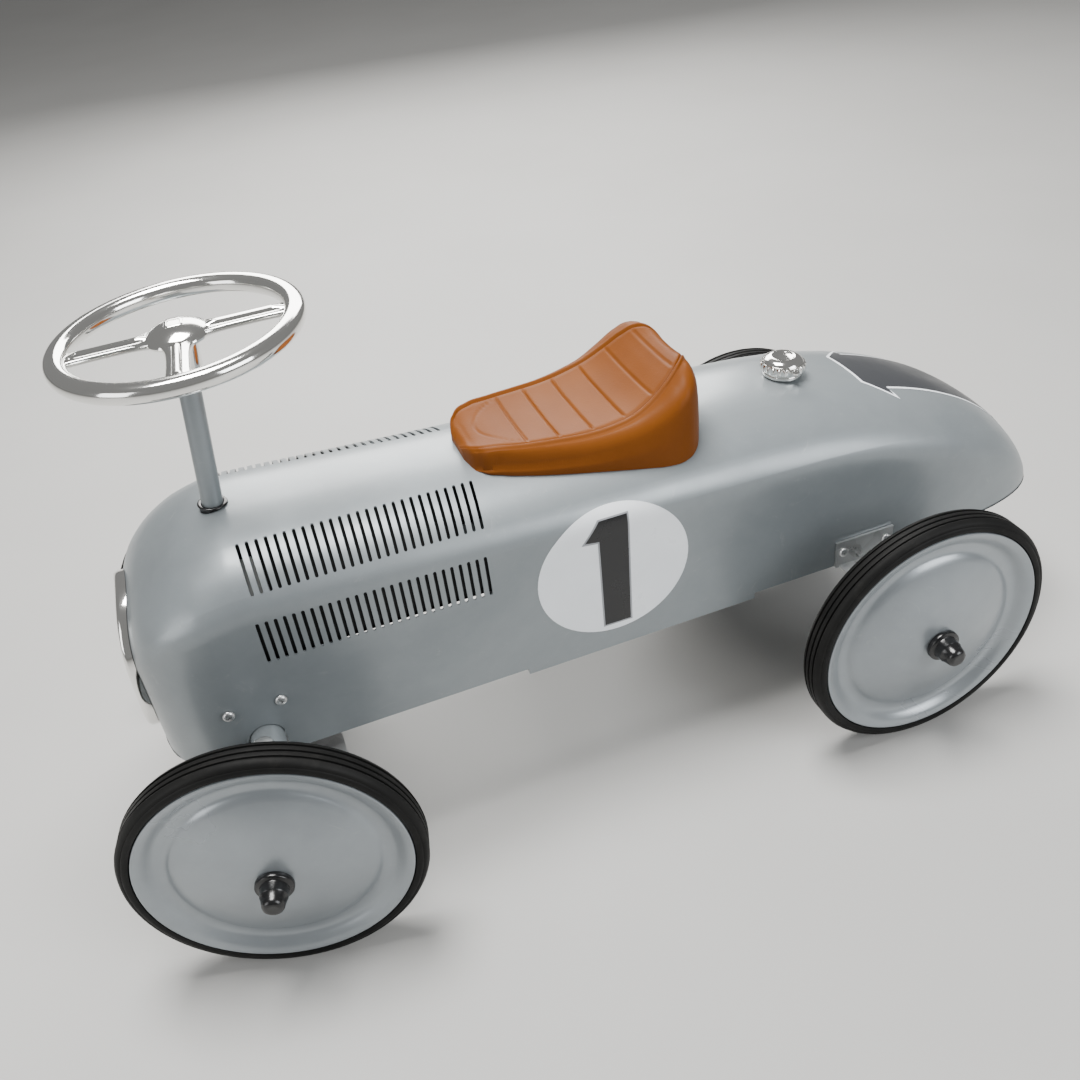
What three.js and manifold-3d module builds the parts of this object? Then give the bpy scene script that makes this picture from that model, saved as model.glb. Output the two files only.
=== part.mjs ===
// Foot-to-floor ride-on racing car: pressed steel body on a front axle tube and a rear axle, four dished wheels,
// chromed steering wheel working both front wheels through a crank, a flat tie rod and two swivelling spindles.
// Millimetres. +X to the nose, +Y to the car's left, +Z up, floor at z = 0, origin under the middle of the bounding box.
import * as THREE from 'three';
import { mergeVertices } from 'three/addons/utils/BufferGeometryUtils.js';
import Module from 'manifold-3d';

const wasm = await Module();
wasm.setup();

// ---------- driving dimensions (x measured from the middle of the wheelbase, moved by SHIFT_X at the end) ----------
const SHIFT_X = 38.0;
const STEER_REST = -12.6;            // front wheels stand turned to the right, degrees
const TYRE_R = 99, AXLE_Z = 99;
const RIM_Y = 156.7;                 // plane of the rear wheels' outer rim lip
const REAR_X = -247.6;
const KING_X = 231, KING_Y = 111.3;  // kingpin axes
const STUB_FORWARD = 6;              // stub axle leads the kingpin
const RIM_FROM_KING = 45.5;          // kingpin to outer rim plane along the stub axle
const STEER_ARM = 39;
const AXLE_R = 4.5;

const BODY_W = 81, BODY_Z0 = 125.4, BODY_T = 1.6;
const SHOULDER_H = 41.6, SHOULDER_N = 2.2;
const CROWN = [[-192.4, 257.9], [-156, 260.3], [-52, 265.2], [53, 271.0], [135.2, 276.6], [217.4, 281.8], [239.2, 282.8], [320, 286]];
const TAIL_X0 = -166, TAIL_X1 = -420, TAIL_PLAN = [4.5, 4.0], TAIL_SIDE = [2.47, 1.68];
const NOSE_X0 = 214.2, NOSE_L = 83.2, NOSE_SIDE = [1.21, 5.25], NOSE_ZC = 146.2;
const PLAN_X0 = 243.4, NOSE_PLAN = [1.2, 4.6];      // the sides stay parallel further forward than the crown does

const TUBE_X = 229, TUBE_Z = 143, TUBE_R = 11.5, TUBE_HALF = 121;
const COL_X = 217.4, COL_Z = 281.8, COL_LEAN = 6.5, COL_R = 7;   // column axis through the hood
const WHEEL_Z = 401.6, WHEEL_R = 71.2, WHEEL_LEAN = -1.5, WHEEL_TURN = -4.5;

// ---------- helpers ----------
const rad = (d) => d * Math.PI / 180;
const M4 = () => new THREE.Matrix4();

function clean(g) {
  g = g.index ? g.toNonIndexed() : g.clone();
  g.deleteAttribute('normal'); g.deleteAttribute('uv');
  return mergeVertices(g, 1e-4);
}
function volume(g) {
  const p = g.attributes.position, ix = g.index; let v = 0;
  const a = new THREE.Vector3(), b = new THREE.Vector3(), c = new THREE.Vector3();
  for (let i = 0; i < ix.count; i += 3) {
    a.fromBufferAttribute(p, ix.getX(i)); b.fromBufferAttribute(p, ix.getX(i + 1)); c.fromBufferAttribute(p, ix.getX(i + 2));
    v += a.dot(b.cross(c)) / 6;
  }
  return v;
}
function outward(g) {
  if (volume(g) < 0) { const a = g.index.array; for (let i = 0; i < a.length; i += 3) { const t = a[i]; a[i] = a[i + 1]; a[i + 1] = t; } }
  return g;
}
function man(g) {
  g = outward(clean(g));
  return new wasm.Manifold(new wasm.Mesh({ numProp: 3, vertProperties: new Float32Array(g.attributes.position.array), triVerts: new Uint32Array(g.index.array) }));
}
function geo(m) {
  const s = m.getMesh(), g = new THREE.BufferGeometry();
  const n = s.numProp, k = s.vertProperties.length / n, p = new Float32Array(k * 3);
  for (let i = 0; i < k; i++) for (let j = 0; j < 3; j++) p[3 * i + j] = s.vertProperties[n * i + j];
  g.setAttribute('position', new THREE.BufferAttribute(p, 3));
  g.setIndex(new THREE.BufferAttribute(new Uint32Array(s.triVerts), 1));
  return g;
}
const cut = (a, ...bs) => { let m = man(a); for (const b of bs) m = m.subtract(man(b)); return geo(m); };
const join = (a, ...bs) => { let m = man(a); for (const b of bs) m = m.add(man(b)); return geo(m); };
const common = (a, b) => geo(man(a).intersect(man(b)));

// turned body about Z: profile of [radius, height] pairs; closes on itself unless it starts and ends on the axis
function turned(profile, seg = 24) {
  const pts = profile.map(([r, h]) => new THREE.Vector2(r, h));
  const closed = !(profile[0][0] === 0 && profile[profile.length - 1][0] === 0);
  if (closed) pts.push(pts[0].clone());
  return new THREE.LatheGeometry(pts, seg).rotateX(Math.PI / 2);
}
const rod = (r, z0, z1, seg = 12) => turned([[0, z0], [r, z0], [r, z1], [0, z1]], seg);
const ring = (r0, r1, z0, z1, seg = 14) => turned([[r0, z0], [r1, z0], [r1, z1], [r0, z1]], seg);
const box = (x0, x1, y0, y1, z0, z1) => new THREE.BoxGeometry(x1 - x0, y1 - y0, z1 - z0).translate((x0 + x1) / 2, (y0 + y1) / 2, (z0 + z1) / 2);
// flat plate: outline in XY, thickness along Z
function plate(pts, z0, z1, holes = []) {
  const s = new THREE.Shape(pts.map(([x, y]) => new THREE.Vector2(x, y)));
  for (const h of holes) s.holes.push(new THREE.Path(h.map(([x, y]) => new THREE.Vector2(x, y))));
  return new THREE.ExtrudeGeometry(s, { depth: z1 - z0, bevelEnabled: false, steps: 1 }).translate(0, 0, z0);
}
const circle = (x, y, r, n = 16) => Array.from({ length: n }, (_, i) => [x + r * Math.cos(2 * Math.PI * (i + 0.5) / n), y + r * Math.sin(2 * Math.PI * (i + 0.5) / n)]);
function slotPts(x0, x1, y, r, n = 5) {
  const o = [];
  for (let i = 0; i <= n; i++) { const a = -Math.PI / 2 + Math.PI * i / n; o.push([x1 + r * Math.cos(a), y + r * Math.sin(a)]); }
  for (let i = 0; i <= n; i++) { const a = Math.PI / 2 + Math.PI * i / n; o.push([x0 + r * Math.cos(a), y + r * Math.sin(a)]); }
  return o;
}
// solid through a list of rings of equal length, ends closed flat
function loft(rings) {
  const n = rings[0].length, pos = [], ix = [];
  for (const r of rings) for (const p of r) pos.push(...p);
  for (let i = 0; i + 1 < rings.length; i++) for (let j = 0; j < n; j++) {
    const a = i * n + j, b = i * n + (j + 1) % n, c = a + n, d = b + n;
    ix.push(a, b, d, a, d, c);
  }
  for (const [k, flip] of [[0, true], [rings.length - 1, false]]) {
    const r = rings[k], c = [0, 1, 2].map((q) => r.reduce((s, p) => s + p[q], 0) / n), ci = pos.length / 3;
    pos.push(...c);
    for (let j = 0; j < n; j++) { const a = k * n + j, b = k * n + (j + 1) % n; flip ? ix.push(b, a, ci) : ix.push(a, b, ci); }
  }
  const g = new THREE.BufferGeometry();
  g.setAttribute('position', new THREE.Float32BufferAttribute(pos, 3));
  g.setIndex(ix);
  return g;
}
const mirrorY = (g) => {
  g = clean(g); g.applyMatrix4(M4().makeScale(1, -1, 1));
  const a = g.index.array; for (let i = 0; i < a.length; i += 3) { const t = a[i]; a[i] = a[i + 1]; a[i + 1] = t; }
  return g;
};

const group = new THREE.Group();
group.name = 'pedal_car';
function add(name, g, color, roughness, metalness) {
  g = outward(clean(g));
  g.translate(SHIFT_X, 0, 0);
  g.computeVertexNormals();
  const m = new THREE.Mesh(g, new THREE.MeshStandardMaterial({ color, roughness, metalness, flatShading: true }));
  m.name = name;
  group.add(m);
}
const PAINT = ['#a9b4b8', 0.42, 0.25], ZINC = ['#b9bcbc', 0.45, 0.85], CHROME = ['#e4e4e2', 0.12, 1.0],
  BLACK = ['#141414', 0.45, 0.0], RUBBER = ['#191919', 0.75, 0.0], TAN = ['#a3592a', 0.5, 0.0];

// ---------- body ----------
function crown(x) {
  for (let i = 0; i + 1 < CROWN.length; i++) {
    const [x0, z0] = CROWN[i], [x1, z1] = CROWN[i + 1];
    if (x <= x1 || i + 2 === CROWN.length) return z0 + (z1 - z0) * (x - x0) / (x1 - x0);
  }
}
function station(x, d) {
  let w = BODY_W + d, zt = crown(x) + d, h = SHOULDER_H;
  if (x < TAIL_X0) {
    const t = Math.min(1, (TAIL_X0 - x) / (TAIL_X0 - TAIL_X1 + d));
    w *= Math.pow(Math.max(0, 1 - Math.pow(t, TAIL_PLAN[0])), 1 / TAIL_PLAN[1]);
    zt = BODY_Z0 + (zt - BODY_Z0) * Math.pow(Math.max(0, 1 - Math.pow(t, TAIL_SIDE[0])), 1 / TAIL_SIDE[1]);
    h = Math.min(h * (0.35 + 0.65 * w / BODY_W), (zt - BODY_Z0) * 0.95);
  }
  if (x > NOSE_X0) {
    const t = Math.min(1, (x - NOSE_X0) / (NOSE_L + d));
    const f = Math.pow(Math.max(0, 1 - Math.pow(t, NOSE_SIDE[0])), 1 / NOSE_SIDE[1]);
    const u = Math.min(1, Math.max(0, (x - PLAN_X0) / (NOSE_X0 + NOSE_L + d - PLAN_X0)));
    const fw = Math.pow(Math.max(0, 1 - Math.pow(u, NOSE_PLAN[0])), 1 / NOSE_PLAN[1]);
    w *= fw; zt = NOSE_ZC + (zt - NOSE_ZC) * f; h *= Math.min(f, fw);
  }
  return { w, zt, h };
}
const TAIL_T = [0.992, 0.97, 0.93, 0.87, 0.78, 0.66, 0.5, 0.3];
const NOSE_T = [0.16, 0.36, 0.57, 0.75, 0.88, 0.95, 0.99];
function bodySolid(d, zbot, ny = 6, x0 = null, x1 = null) {
  let xs = [];
  for (const t of TAIL_T) xs.push(TAIL_X0 - t * (TAIL_X0 - TAIL_X1 + d));
  xs.push(TAIL_X0, -109, -52, 0.5, 53, 94, 135.2, 175, NOSE_X0);
  for (const t of NOSE_T) xs.push(NOSE_X0 + t * (NOSE_L + d));
  if (x0 !== null) xs = [x0, ...xs.filter((x) => x > x0 + 0.01 && x < x1 - 0.01), x1];
  return loft(xs.map((x) => {
    const { w, zt, h } = station(x, d), q = [];
    q.push([x, w, zbot]);
    for (let i = 0; i <= ny; i++) {
      const a = Math.PI / 2 * i / ny;
      q.push([x, w * Math.pow(Math.max(0, Math.cos(a)), 2 / SHOULDER_N) * (i === ny ? 0 : 1), zt - h + h * Math.pow(Math.sin(a), 2 / SHOULDER_N)]);
    }
    const m = q.slice(0, -1).reverse().map(([X, Y, Z]) => [X, -Y, Z]);
    return [...q, ...m];
  }));
}
const colTilt = (g) => g.rotateY(rad(-COL_LEAN)).translate(COL_X, 0, COL_Z);   // from column frame, z = 0 at the hood
const bodyOuter = bodySolid(0, BODY_Z0);
const bodyInner = bodySolid(-BODY_T, BODY_Z0 - 8);

const FRONT_SCREWS = [[247.4, 172.5], [212.7, 172.5]];
const REAR_SCREWS = [[-215.8, 139.5], [-253.3, 139.5]];
const CAP_X = -208;
const SEAT_BOLTS = [18, -82];
const cross = (x, z, r, seg = 10) => rod(r, -110, 110, seg).rotateX(Math.PI / 2).translate(x, 0, z);
const cutters = [
  cross(TUBE_X, TUBE_Z, TUBE_R + 0.5, 20),
  box(TUBE_X - TUBE_R - 0.5, TUBE_X + TUBE_R + 0.5, -100, 100, 100, TUBE_Z),
  ...FRONT_SCREWS.map(([x, z]) => cross(x, z, 2.5)),
  ...REAR_SCREWS.map(([x, z]) => cross(x, z, 2.5)),
  colTilt(rod(8.9, -20, 20, 14)),
  rod(7.9, 230, 280, 16).translate(CAP_X, 0, 0),
  ...SEAT_BOLTS.map((x) => rod(3.4, 230, 300, 12).translate(x, 0, 0)),
];
// cooling slots: two rows of 27 on each side of the hood
for (let i = 0; i < 27; i++) {
  const xu = 209.2 - i * 5.94, xl = 211.8 - i * 5.81;
  cutters.push(box(xl - 1.15, xl + 1.15, -100, 100, 207.5, 231));
  for (const s of [1, -1]) {
    cutters.push(box(xu - 1.15, xu + 1.15, -30, 30, -24, 24).rotateX(rad(s * 48)).translate(0, s * 66, 259.5 + 0.06 * (xu - 130)));
  }
}
let shell = man(bodyOuter).subtract(man(bodyInner));
for (const c of cutters) shell = shell.subtract(man(c));
// one pressed sheet, carried as plane-cut panels that meet face to face
const SIDE_TOP = 233, NOSE_CUT = 254, TAIL_CUT = -190;
const splitX = (m, x) => m.splitByPlane([1, 0, 0], x);
const [shellNose, shellRest] = splitX(shell, NOSE_CUT);
const [shellMid, shellTail] = splitX(shellRest, TAIL_CUT);
const [shellTop, shellSides] = shellMid.splitByPlane([0, 0, 1], SIDE_TOP);
const [sideLeft, sideRight] = shellSides.splitByPlane([0, 1, 0], 0);
add('body_shell_side_left', geo(sideLeft), ...PAINT);
add('body_shell_side_right', geo(sideRight), ...PAINT);
add('body_shell_top', geo(shellTop), ...PAINT);
add('body_shell_nose', geo(shellNose), ...PAINT);
add('body_shell_tail', geo(shellTail), ...PAINT);

// black sheet behind the lower slots, standing off the side wall on two pads
for (const [side, s] of [['left', 1], ['right', -1]]) {
  const yo = BODY_W - BODY_T;
  const sheet = join(box(50, 223, yo - 3.4, yo - 2.4, 203, 234), box(51, 54.5, yo - 2.6, yo - 0.01, 205, 225), box(217, 222, yo - 2.6, yo - 0.01, 205, 225));
  add('slot_backing_' + side, s > 0 ? sheet : mirrorY(sheet), ...BLACK);
}

// ---------- grille on the nose ----------
const GR_Z = 187, GR_W = 45, GR_H = 57.5;
const shield = (k) => Array.from({ length: 28 }, (_, i) => {
  const a = 2 * Math.PI * i / 28, c = Math.cos(a), s = Math.sin(a);
  return [(GR_W - k) * Math.sign(c) * Math.pow(Math.abs(c), 0.91), GR_Z + (GR_H - k) * Math.sign(s) * Math.pow(Math.abs(s), 0.91)];
});
// outline is in (y, z): build in XY then stand it up facing +X
const toNose = (g) => g.applyMatrix4(new THREE.Matrix4().set(0, 0, 1, 0, 1, 0, 0, 0, 0, 1, 0, 0, 0, 0, 0, 1));
const nose = (d) => man(bodySolid(d, 100, 6, 200, NOSE_X0 + 0.99 * (NOSE_L + d)));
const grBand = man(toNose(plate(shield(0), 240, 320, [shield(4.2)])));
const grPane = man(toNose(plate(shield(4.5), 240, 320)));
add('grille_surround', geo(grBand.intersect(nose(5.5)).subtract(nose(0.3))), ...CHROME);
add('grille_mesh', geo(grPane.intersect(nose(3)).subtract(nose(0.3))), ...BLACK);

// ---------- seat ----------
// stations along x: [x, half width at base, half width of top, top height, base height at edge]
const SEAT = [
  [50, 12, 9, 276.5], [47.8, 23, 17.5, 280.6], [42, 33, 27.5, 284.0], [30, 40, 34.5, 285.6], [14, 45.5, 38.5, 284.4], [-8, 51, 42, 283.2], [-30, 55.5, 45, 282.6],
  [-48, 58.8, 47, 284.2], [-66, 61.8, 47.5, 288.4], [-82, 64, 45.5, 296.5], [-95, 63.5, 41.5, 305.2], [-104, 59.5, 36.5, 310.6], [-110.5, 52.5, 30, 311.6], [-115.5, 43, 22.5, 308.0], [-118.8, 32, 15, 301.5],
];
const seatLoft = loft(SEAT.map(([x, wb, wt, zt]) => [
  [x, wb, 226], [x, wb, 243 + (zt - 283) * 0.35], [x, wb - 2.0, zt - 13], [x, (wb + wt) / 2 + 1.5, zt - 4.5], [x, wt, zt - 0.4], [x, wt * 0.55, zt - 1.6], [x, 0, zt - 2.2],
  [x, -wt * 0.55, zt - 1.6], [x, -wt, zt - 0.4], [x, -(wb + wt) / 2 - 1.5, zt - 4.5], [x, -wb + 2.0, zt - 13], [x, -wb, 243 + (zt - 283) * 0.35], [x, -wb, 226],
]));
let seat = man(seatLoft).subtract(man(bodySolid(0.35, 100, 6, -200, 150)));
for (const x of SEAT_BOLTS) seat = seat.subtract(man(rod(3.4, 230, crown(x) + 9, 12).translate(x, 0, 0)));
add('seat', geo(seat), ...TAN);
SEAT_BOLTS.forEach((x, i) => {
  const z = crown(x) - BODY_T - 1.0;
  add(['seat_bolt_front', 'seat_bolt_rear'][i], turned([[0, z - 5], [5.5, z - 5], [5.5, z - 1.6], [8, z - 1.6], [8, z - 0.2], [3, z - 0.2], [3, z + 8], [0, z + 8]], 12).translate(x, 0, 0), ...ZINC);
});

// ---------- fuel cap ----------
const capTilt = (g) => g.rotateY(rad(-3.8)).translate(CAP_X, 0, crown(CAP_X) - 1.6);
add('filler_neck', capTilt(turned([[5, -12], [7.2, -12], [7.2, 2.0], [14.6, 2.0], [14.6, 4.6], [11.5, 5.4], [11.5, 12.5], [9.5, 12.5], [9.5, 3.5], [5, 3.5]], 16)), ...CHROME);
add('filler_nut', capTilt(ring(7.6, 11.5, -8.5, -3.2, 14)), ...ZINC);
const capBody = turned([[0, 16.8], [10, 16.4], [13.8, 15.0], [15.0, 13.2], [17.3, 12.4], [17.3, 6.6], [11.9, 6.6], [11.9, 12.9], [0, 12.9]], 20);
add('fuel_cap', capTilt(join(capBody, box(-3, 3, 15.5, 20.5, 7.2, 11.6), box(-3, 3, -20.5, -15.5, 7.2, 11.6))), ...CHROME);

// ---------- belly pan ----------
add('belly_pan', cut(box(-142, 42, -79, 79, 119, 152), box(-150, 50, -77.2, 77.2, 120.8, 160)), ...PAINT);

// ---------- front axle ----------
const along = (g) => g.rotateX(Math.PI / 2);   // z axis to y axis
let tube = man(along(ring(TUBE_R - 2, TUBE_R, -TUBE_HALF, TUBE_HALF, 16)).translate(TUBE_X, 0, TUBE_Z));
tube = tube.subtract(man(colTilt(rod(COL_R + 0.4, -190, -100, 14))));
for (const s of [1, -1]) tube = tube.subtract(man(rod(5.4, 120, 170, 12).translate(KING_X, s * KING_Y, 0)));
add('front_axle_tube', geo(tube), ...PAINT);
for (const [side, s] of [['left', 1], ['right', -1]]) {
  const y1 = BODY_W - BODY_T - 2.6, pts = [[202, 130.5], [251, 130.5], [251, 176], [247, 182], [208, 182], [202, 176]];
  let b = plate(pts.map(([x, z]) => [x, -z]), 0, 2.4, [circle(TUBE_X, -TUBE_Z, TUBE_R + 0.3, 20), ...FRONT_SCREWS.map(([x, z]) => circle(x, -z, 2.6, 8))]);
  b = b.rotateX(-Math.PI / 2);                       // outline (x, -z) to (x, z), thickness to +y
  b.translate(0, y1 - 2.4, 0);
  add('axle_bracket_' + side, s > 0 ? b : mirrorY(b), ...ZINC);
}
const screw = (x, y, z, s, len) => turned([[0, 2.4], [2.6, 1.9], [4.1, 0], [2.2, 0], [2.2, -len], [0, -len]], 8).rotateX(-Math.PI / 2 * s).translate(x, y, z);
for (const [side, s] of [['left', 1], ['right', -1]]) {
  FRONT_SCREWS.forEach(([x, z], i) => add(`front_screw_${side}_${i + 1}`, screw(x, s * (station(x, 0).w + (x > PLAN_X0 ? 0.9 : 0.5)), z, s, 9), ...ZINC));
  REAR_SCREWS.forEach(([x, z], i) => add(`rear_screw_${side}_${i + 1}`, screw(x, s * (BODY_W + 2.6), z, s, 9), ...ZINC));
}

// ---------- steering spindles ----------
const spin = (g, s) => g.rotateZ(rad(STEER_REST)).translate(KING_X, s * KING_Y, 0);
for (const [side, s] of [['left', 1], ['right', -1]]) {
  // local frame: kingpin on z, stub axle to s*y, steering arm to -x
  let k = man(rod(5, 92, 166, 12));
  k = k.add(man(turned([[0, 126.6], [8.5, 126.6], [8.5, 131.0], [0, 131.0]], 12)));
  k = k.add(man(box(-7, 12.5, -7, 7, AXLE_Z - 7, AXLE_Z + 7)));
  k = k.add(man(rod(7, 0, 22.6, 12).rotateX(-Math.PI / 2 * s).translate(STUB_FORWARD, 0, AXLE_Z)));
  k = k.add(man(rod(AXLE_R, 0, RIM_FROM_KING + 23.6, 12).rotateX(-Math.PI / 2 * s).translate(STUB_FORWARD, 0, AXLE_Z)));
  k = k.add(man(plate([[8, -9], [8, 9], [-STEER_ARM - 4, 8.5], [-STEER_ARM - 9, 4.5], [-STEER_ARM - 9, -4.5], [-STEER_ARM - 4, -8.5]], 116.8, 119.8)));
  k = k.subtract(man(rod(3.3, 110, 125, 12).translate(-STEER_ARM, 0, 0)));
  add('spindle_' + side, spin(geo(k), s), ...ZINC);
  add('kingpin_cap_' + side, spin(turned([[5.3, 155.2], [8.6, 155.2], [8.6, 158], [6.8, 168.2], [0, 169], [0, 166.4], [5.3, 166.4]].reverse(), 12), s), ...ZINC);
  add('tie_rod_bolt_' + side, spin(turned([[0, 109.6], [5.6, 109.6], [5.6, 113.2], [3, 113.2], [3, 120.1], [5.6, 120.1], [5.6, 124.2], [0, 124.2]], 12).translate(-STEER_ARM, 0, 0), s), ...ZINC);
}
// tie rod: joins the two steering arms, driven in its middle slot by the crank pin
const armX = KING_X - STEER_ARM * Math.cos(rad(STEER_REST)), armY = -STEER_ARM * Math.sin(rad(STEER_REST));
const CRANK_S = -156.5;                                    // crank plate height along the column
const crankZ = (q) => COL_Z + q * Math.cos(rad(COL_LEAN)), crankX = (q) => COL_X - q * Math.sin(rad(COL_LEAN));
const pinX = crankX(CRANK_S) - STEER_ARM * Math.cos(rad(STEER_REST)) * Math.cos(rad(COL_LEAN)) + 0.7;
{
  const y0 = -KING_Y + armY, y1 = KING_Y + armY, w = 11.2;
  const pts = [[armX - w, y0 - 6], [armX - w + 6, y0 - 11.5], [armX + w - 6, y0 - 11.5], [armX + w, y0 - 6], [armX + w, y1 + 6], [armX + w - 6, y1 + 11.5], [armX - w + 6, y1 + 11.5], [armX - w, y1 + 6]];
  add('tie_rod', plate(pts, 113.7, 116.3, [circle(armX, y0, 3.5, 16), circle(armX, y1, 3.3, 16), slotPts(pinX - 2.0, pinX + 1.0, armY, 3.1)]), ...ZINC);
}
// ---------- steering column, crank and wheel (column frame: z along the column, z = 0 where it leaves the hood) ----------
add('steering_column', colTilt(ring(COL_R - 1.5, COL_R, -163, 112, 14)), ...PAINT);
add('column_bush', colTilt(turned([[7.3, -5], [8.5, -5], [8.5, 0.9], [9.9, 0.9], [9.6, 2.0], [7.3, 2.0]], 14)), ...BLACK);
add('column_collar', colTilt(ring(7.4, 10.5, -124.3, -118, 14)), ...ZINC);
{
  let c = man(ring(7.4, 10.6, CRANK_S - 4, CRANK_S + 3.4, 14));
  let arm = man(plate([[0, -9.5], [0, 9.5], [-STEER_ARM - 2, 6.5], [-STEER_ARM - 6.5, 3], [-STEER_ARM - 6.5, -3], [-STEER_ARM - 2, -6.5]], CRANK_S - 1.5, CRANK_S + 1.5));
  arm = arm.subtract(man(rod(9, CRANK_S - 5, CRANK_S + 5, 14)));
  c = c.add(arm).add(man(rod(2.5, CRANK_S - 12.2, CRANK_S, 14).translate(-STEER_ARM, 0, 0)));
  add('crank_arm', colTilt(geo(c).rotateZ(rad(STEER_REST))), ...ZINC);
}
{
  const sec = []; const A = 6.5, B = 6.0;
  for (let i = 0; i <= 7; i++) { const a = rad(-38 + 256 * i / 7); sec.push([WHEEL_R + A * Math.cos(a), B * Math.sin(a)]); }
  sec.push([WHEEL_R - 3.4, -3.6], [WHEEL_R - 2.2, 1.0], [WHEEL_R + 2.2, 1.0], [WHEEL_R + 3.4, -3.6]);
  let w = man(turned(sec, 30));
  for (const a of [0, 180, 90]) {
    const sp = plate([[8, -12.5], [22, -9], [30, -6.2], [WHEEL_R - 3.6, -6.8], [WHEEL_R - 3.6, 6.8], [30, 6.2], [22, 9], [8, 12.5]], -2.2, 1.0).rotateZ(rad(a));
    const rib = plate([[10, -2.2], [WHEEL_R - 4, -2.2], [WHEEL_R - 4, 2.2], [10, 2.2]], 0.5, 2.6).rotateZ(rad(a));
    w = w.add(man(sp)).add(man(rib));
  }
  w = w.add(man(turned([[0, -4], [17, -4], [18.5, 0], [17, 3.4], [11, 6.6], [0, 7.6]], 16)));
  const toWheel = (g) => g.rotateZ(rad(WHEEL_TURN)).rotateY(rad(-WHEEL_LEAN)).translate(COL_X - (WHEEL_Z - COL_Z) * Math.tan(rad(COL_LEAN)) + 0.8, 0, WHEEL_Z);
  w = man(toWheel(geo(w)));
  w = w.add(man(colTilt(rod(10.5, 98, 119, 14)))).subtract(man(colTilt(rod(COL_R + 0.4, 90, 112.4, 14))));
  add('steering_wheel', geo(w), ...CHROME);
}

// ---------- rear axle ----------
const ySide = (g, s) => g.rotateX(-Math.PI / 2 * s);
for (const [side, s] of [['left', 1], ['right', -1]]) {
  const y0 = BODY_W + 0.3;
  let b = man(box(-259.6, -209.7, y0, y0 + 2, 125.6, 149));
  b = b.add(man(box(-262, -213, y0, 103, 125.6, 127.6)));
  b = b.add(man(box(-262, -233.2, 101, 103, 87, 127.6)));
  let g = geo(b);
  g = cut(g, ...REAR_SCREWS.map(([x, z]) => cross(x, z, 2.5)), cross(REAR_X, AXLE_Z, AXLE_R + 0.3, 16));
  add('rear_bracket_' + side, s > 0 ? g : mirrorY(g), ...ZINC);
  add('rear_spacer_' + side, ySide(ring(AXLE_R + 0.3, 8, 103.4, RIM_Y - 22.6, 12), s).translate(REAR_X, 0, AXLE_Z), ...BLACK);
}
add('rear_axle', along(rod(AXLE_R, -RIM_Y - 23.6, RIM_Y + 23.6, 12)).translate(REAR_X, 0, AXLE_Z), ...ZINC);

// ---------- wheels (local frame: z outwards, z = 0 at the rim lip) ----------
const DISC = [[8.5, 9.2], [10.2, 9.2], [36, 5.2], [52, 0.9], [66, -4.9], [71.5, -7.0], [77.5, -6.6], [83.5, -1.6], [88.2, 0.2], [89.2, -0.6], [89.2, -2.0], [84.2, -5.0], [84.2, -17.0],
  [89.2, -19.6], [89.2, -21.0], [87.4, -21.0], [82.7, -18.0], [82.7, -9.0], [71, -8.6], [52, -0.7], [36, 3.7], [10.2, 7.0], [10.2, -22], [8.5, -22]];
const TYRE = [[84.6, -5.4], [84.6, -16.6], [89.7, -19.3], [89.7, -20.8], [92, -21.8], [96, -20.6], [98.4, -17.2], [99, -10.8], [98.4, -4.4], [96, -1.0], [92, 0.2], [89.7, -0.4], [89.7, -2.2]];
const CAP = [[0, 30], [5.4, 29.1], [7.3, 26.9], [9.9, 13.6], [12.6, 13.0], [12.6, 9.6], [4.9, 9.6], [4.9, 24], [0, 24]];
const WHEELS = [['front_left', 1], ['front_right', -1], ['rear_left', 1], ['rear_right', -1]];
for (const [name, s] of WHEELS) {
  const front = name.startsWith('front');
  const place = (g) => front
    ? spin(ySide(g, s).translate(STUB_FORWARD, s * RIM_FROM_KING, AXLE_Z), s)
    : ySide(g, s).translate(REAR_X, s * RIM_Y, AXLE_Z);
  add('wheel_disc_' + name, place(turned(DISC, 24)), ...PAINT);
  add('tyre_' + name, place(turned(TYRE, 24)), ...RUBBER);
  add('wheel_bush_' + name, place(ring(AXLE_R + 0.3, 8.2, -22, 9.2, 12)), ...BLACK);
  add('hub_cap_' + name, place(turned(CAP, 12)), ...BLACK);
}

export default group;
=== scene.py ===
import bpy, bmesh, math
import numpy as np
from mathutils import Vector, Matrix


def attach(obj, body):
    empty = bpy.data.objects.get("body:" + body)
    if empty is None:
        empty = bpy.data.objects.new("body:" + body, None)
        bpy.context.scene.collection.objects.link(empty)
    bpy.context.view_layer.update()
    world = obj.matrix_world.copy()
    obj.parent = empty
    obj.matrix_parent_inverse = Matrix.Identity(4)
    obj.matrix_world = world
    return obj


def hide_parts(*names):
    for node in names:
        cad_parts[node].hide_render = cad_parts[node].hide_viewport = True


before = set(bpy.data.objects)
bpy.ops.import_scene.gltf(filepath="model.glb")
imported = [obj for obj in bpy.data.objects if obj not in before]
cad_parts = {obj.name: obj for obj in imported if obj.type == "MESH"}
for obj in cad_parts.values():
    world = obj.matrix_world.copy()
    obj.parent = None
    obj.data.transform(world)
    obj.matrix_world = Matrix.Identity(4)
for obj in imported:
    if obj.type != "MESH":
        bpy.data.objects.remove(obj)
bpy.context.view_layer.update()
SCN = bpy.context.scene
MM = 0.001
SHIFT_X = 38.0

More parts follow.
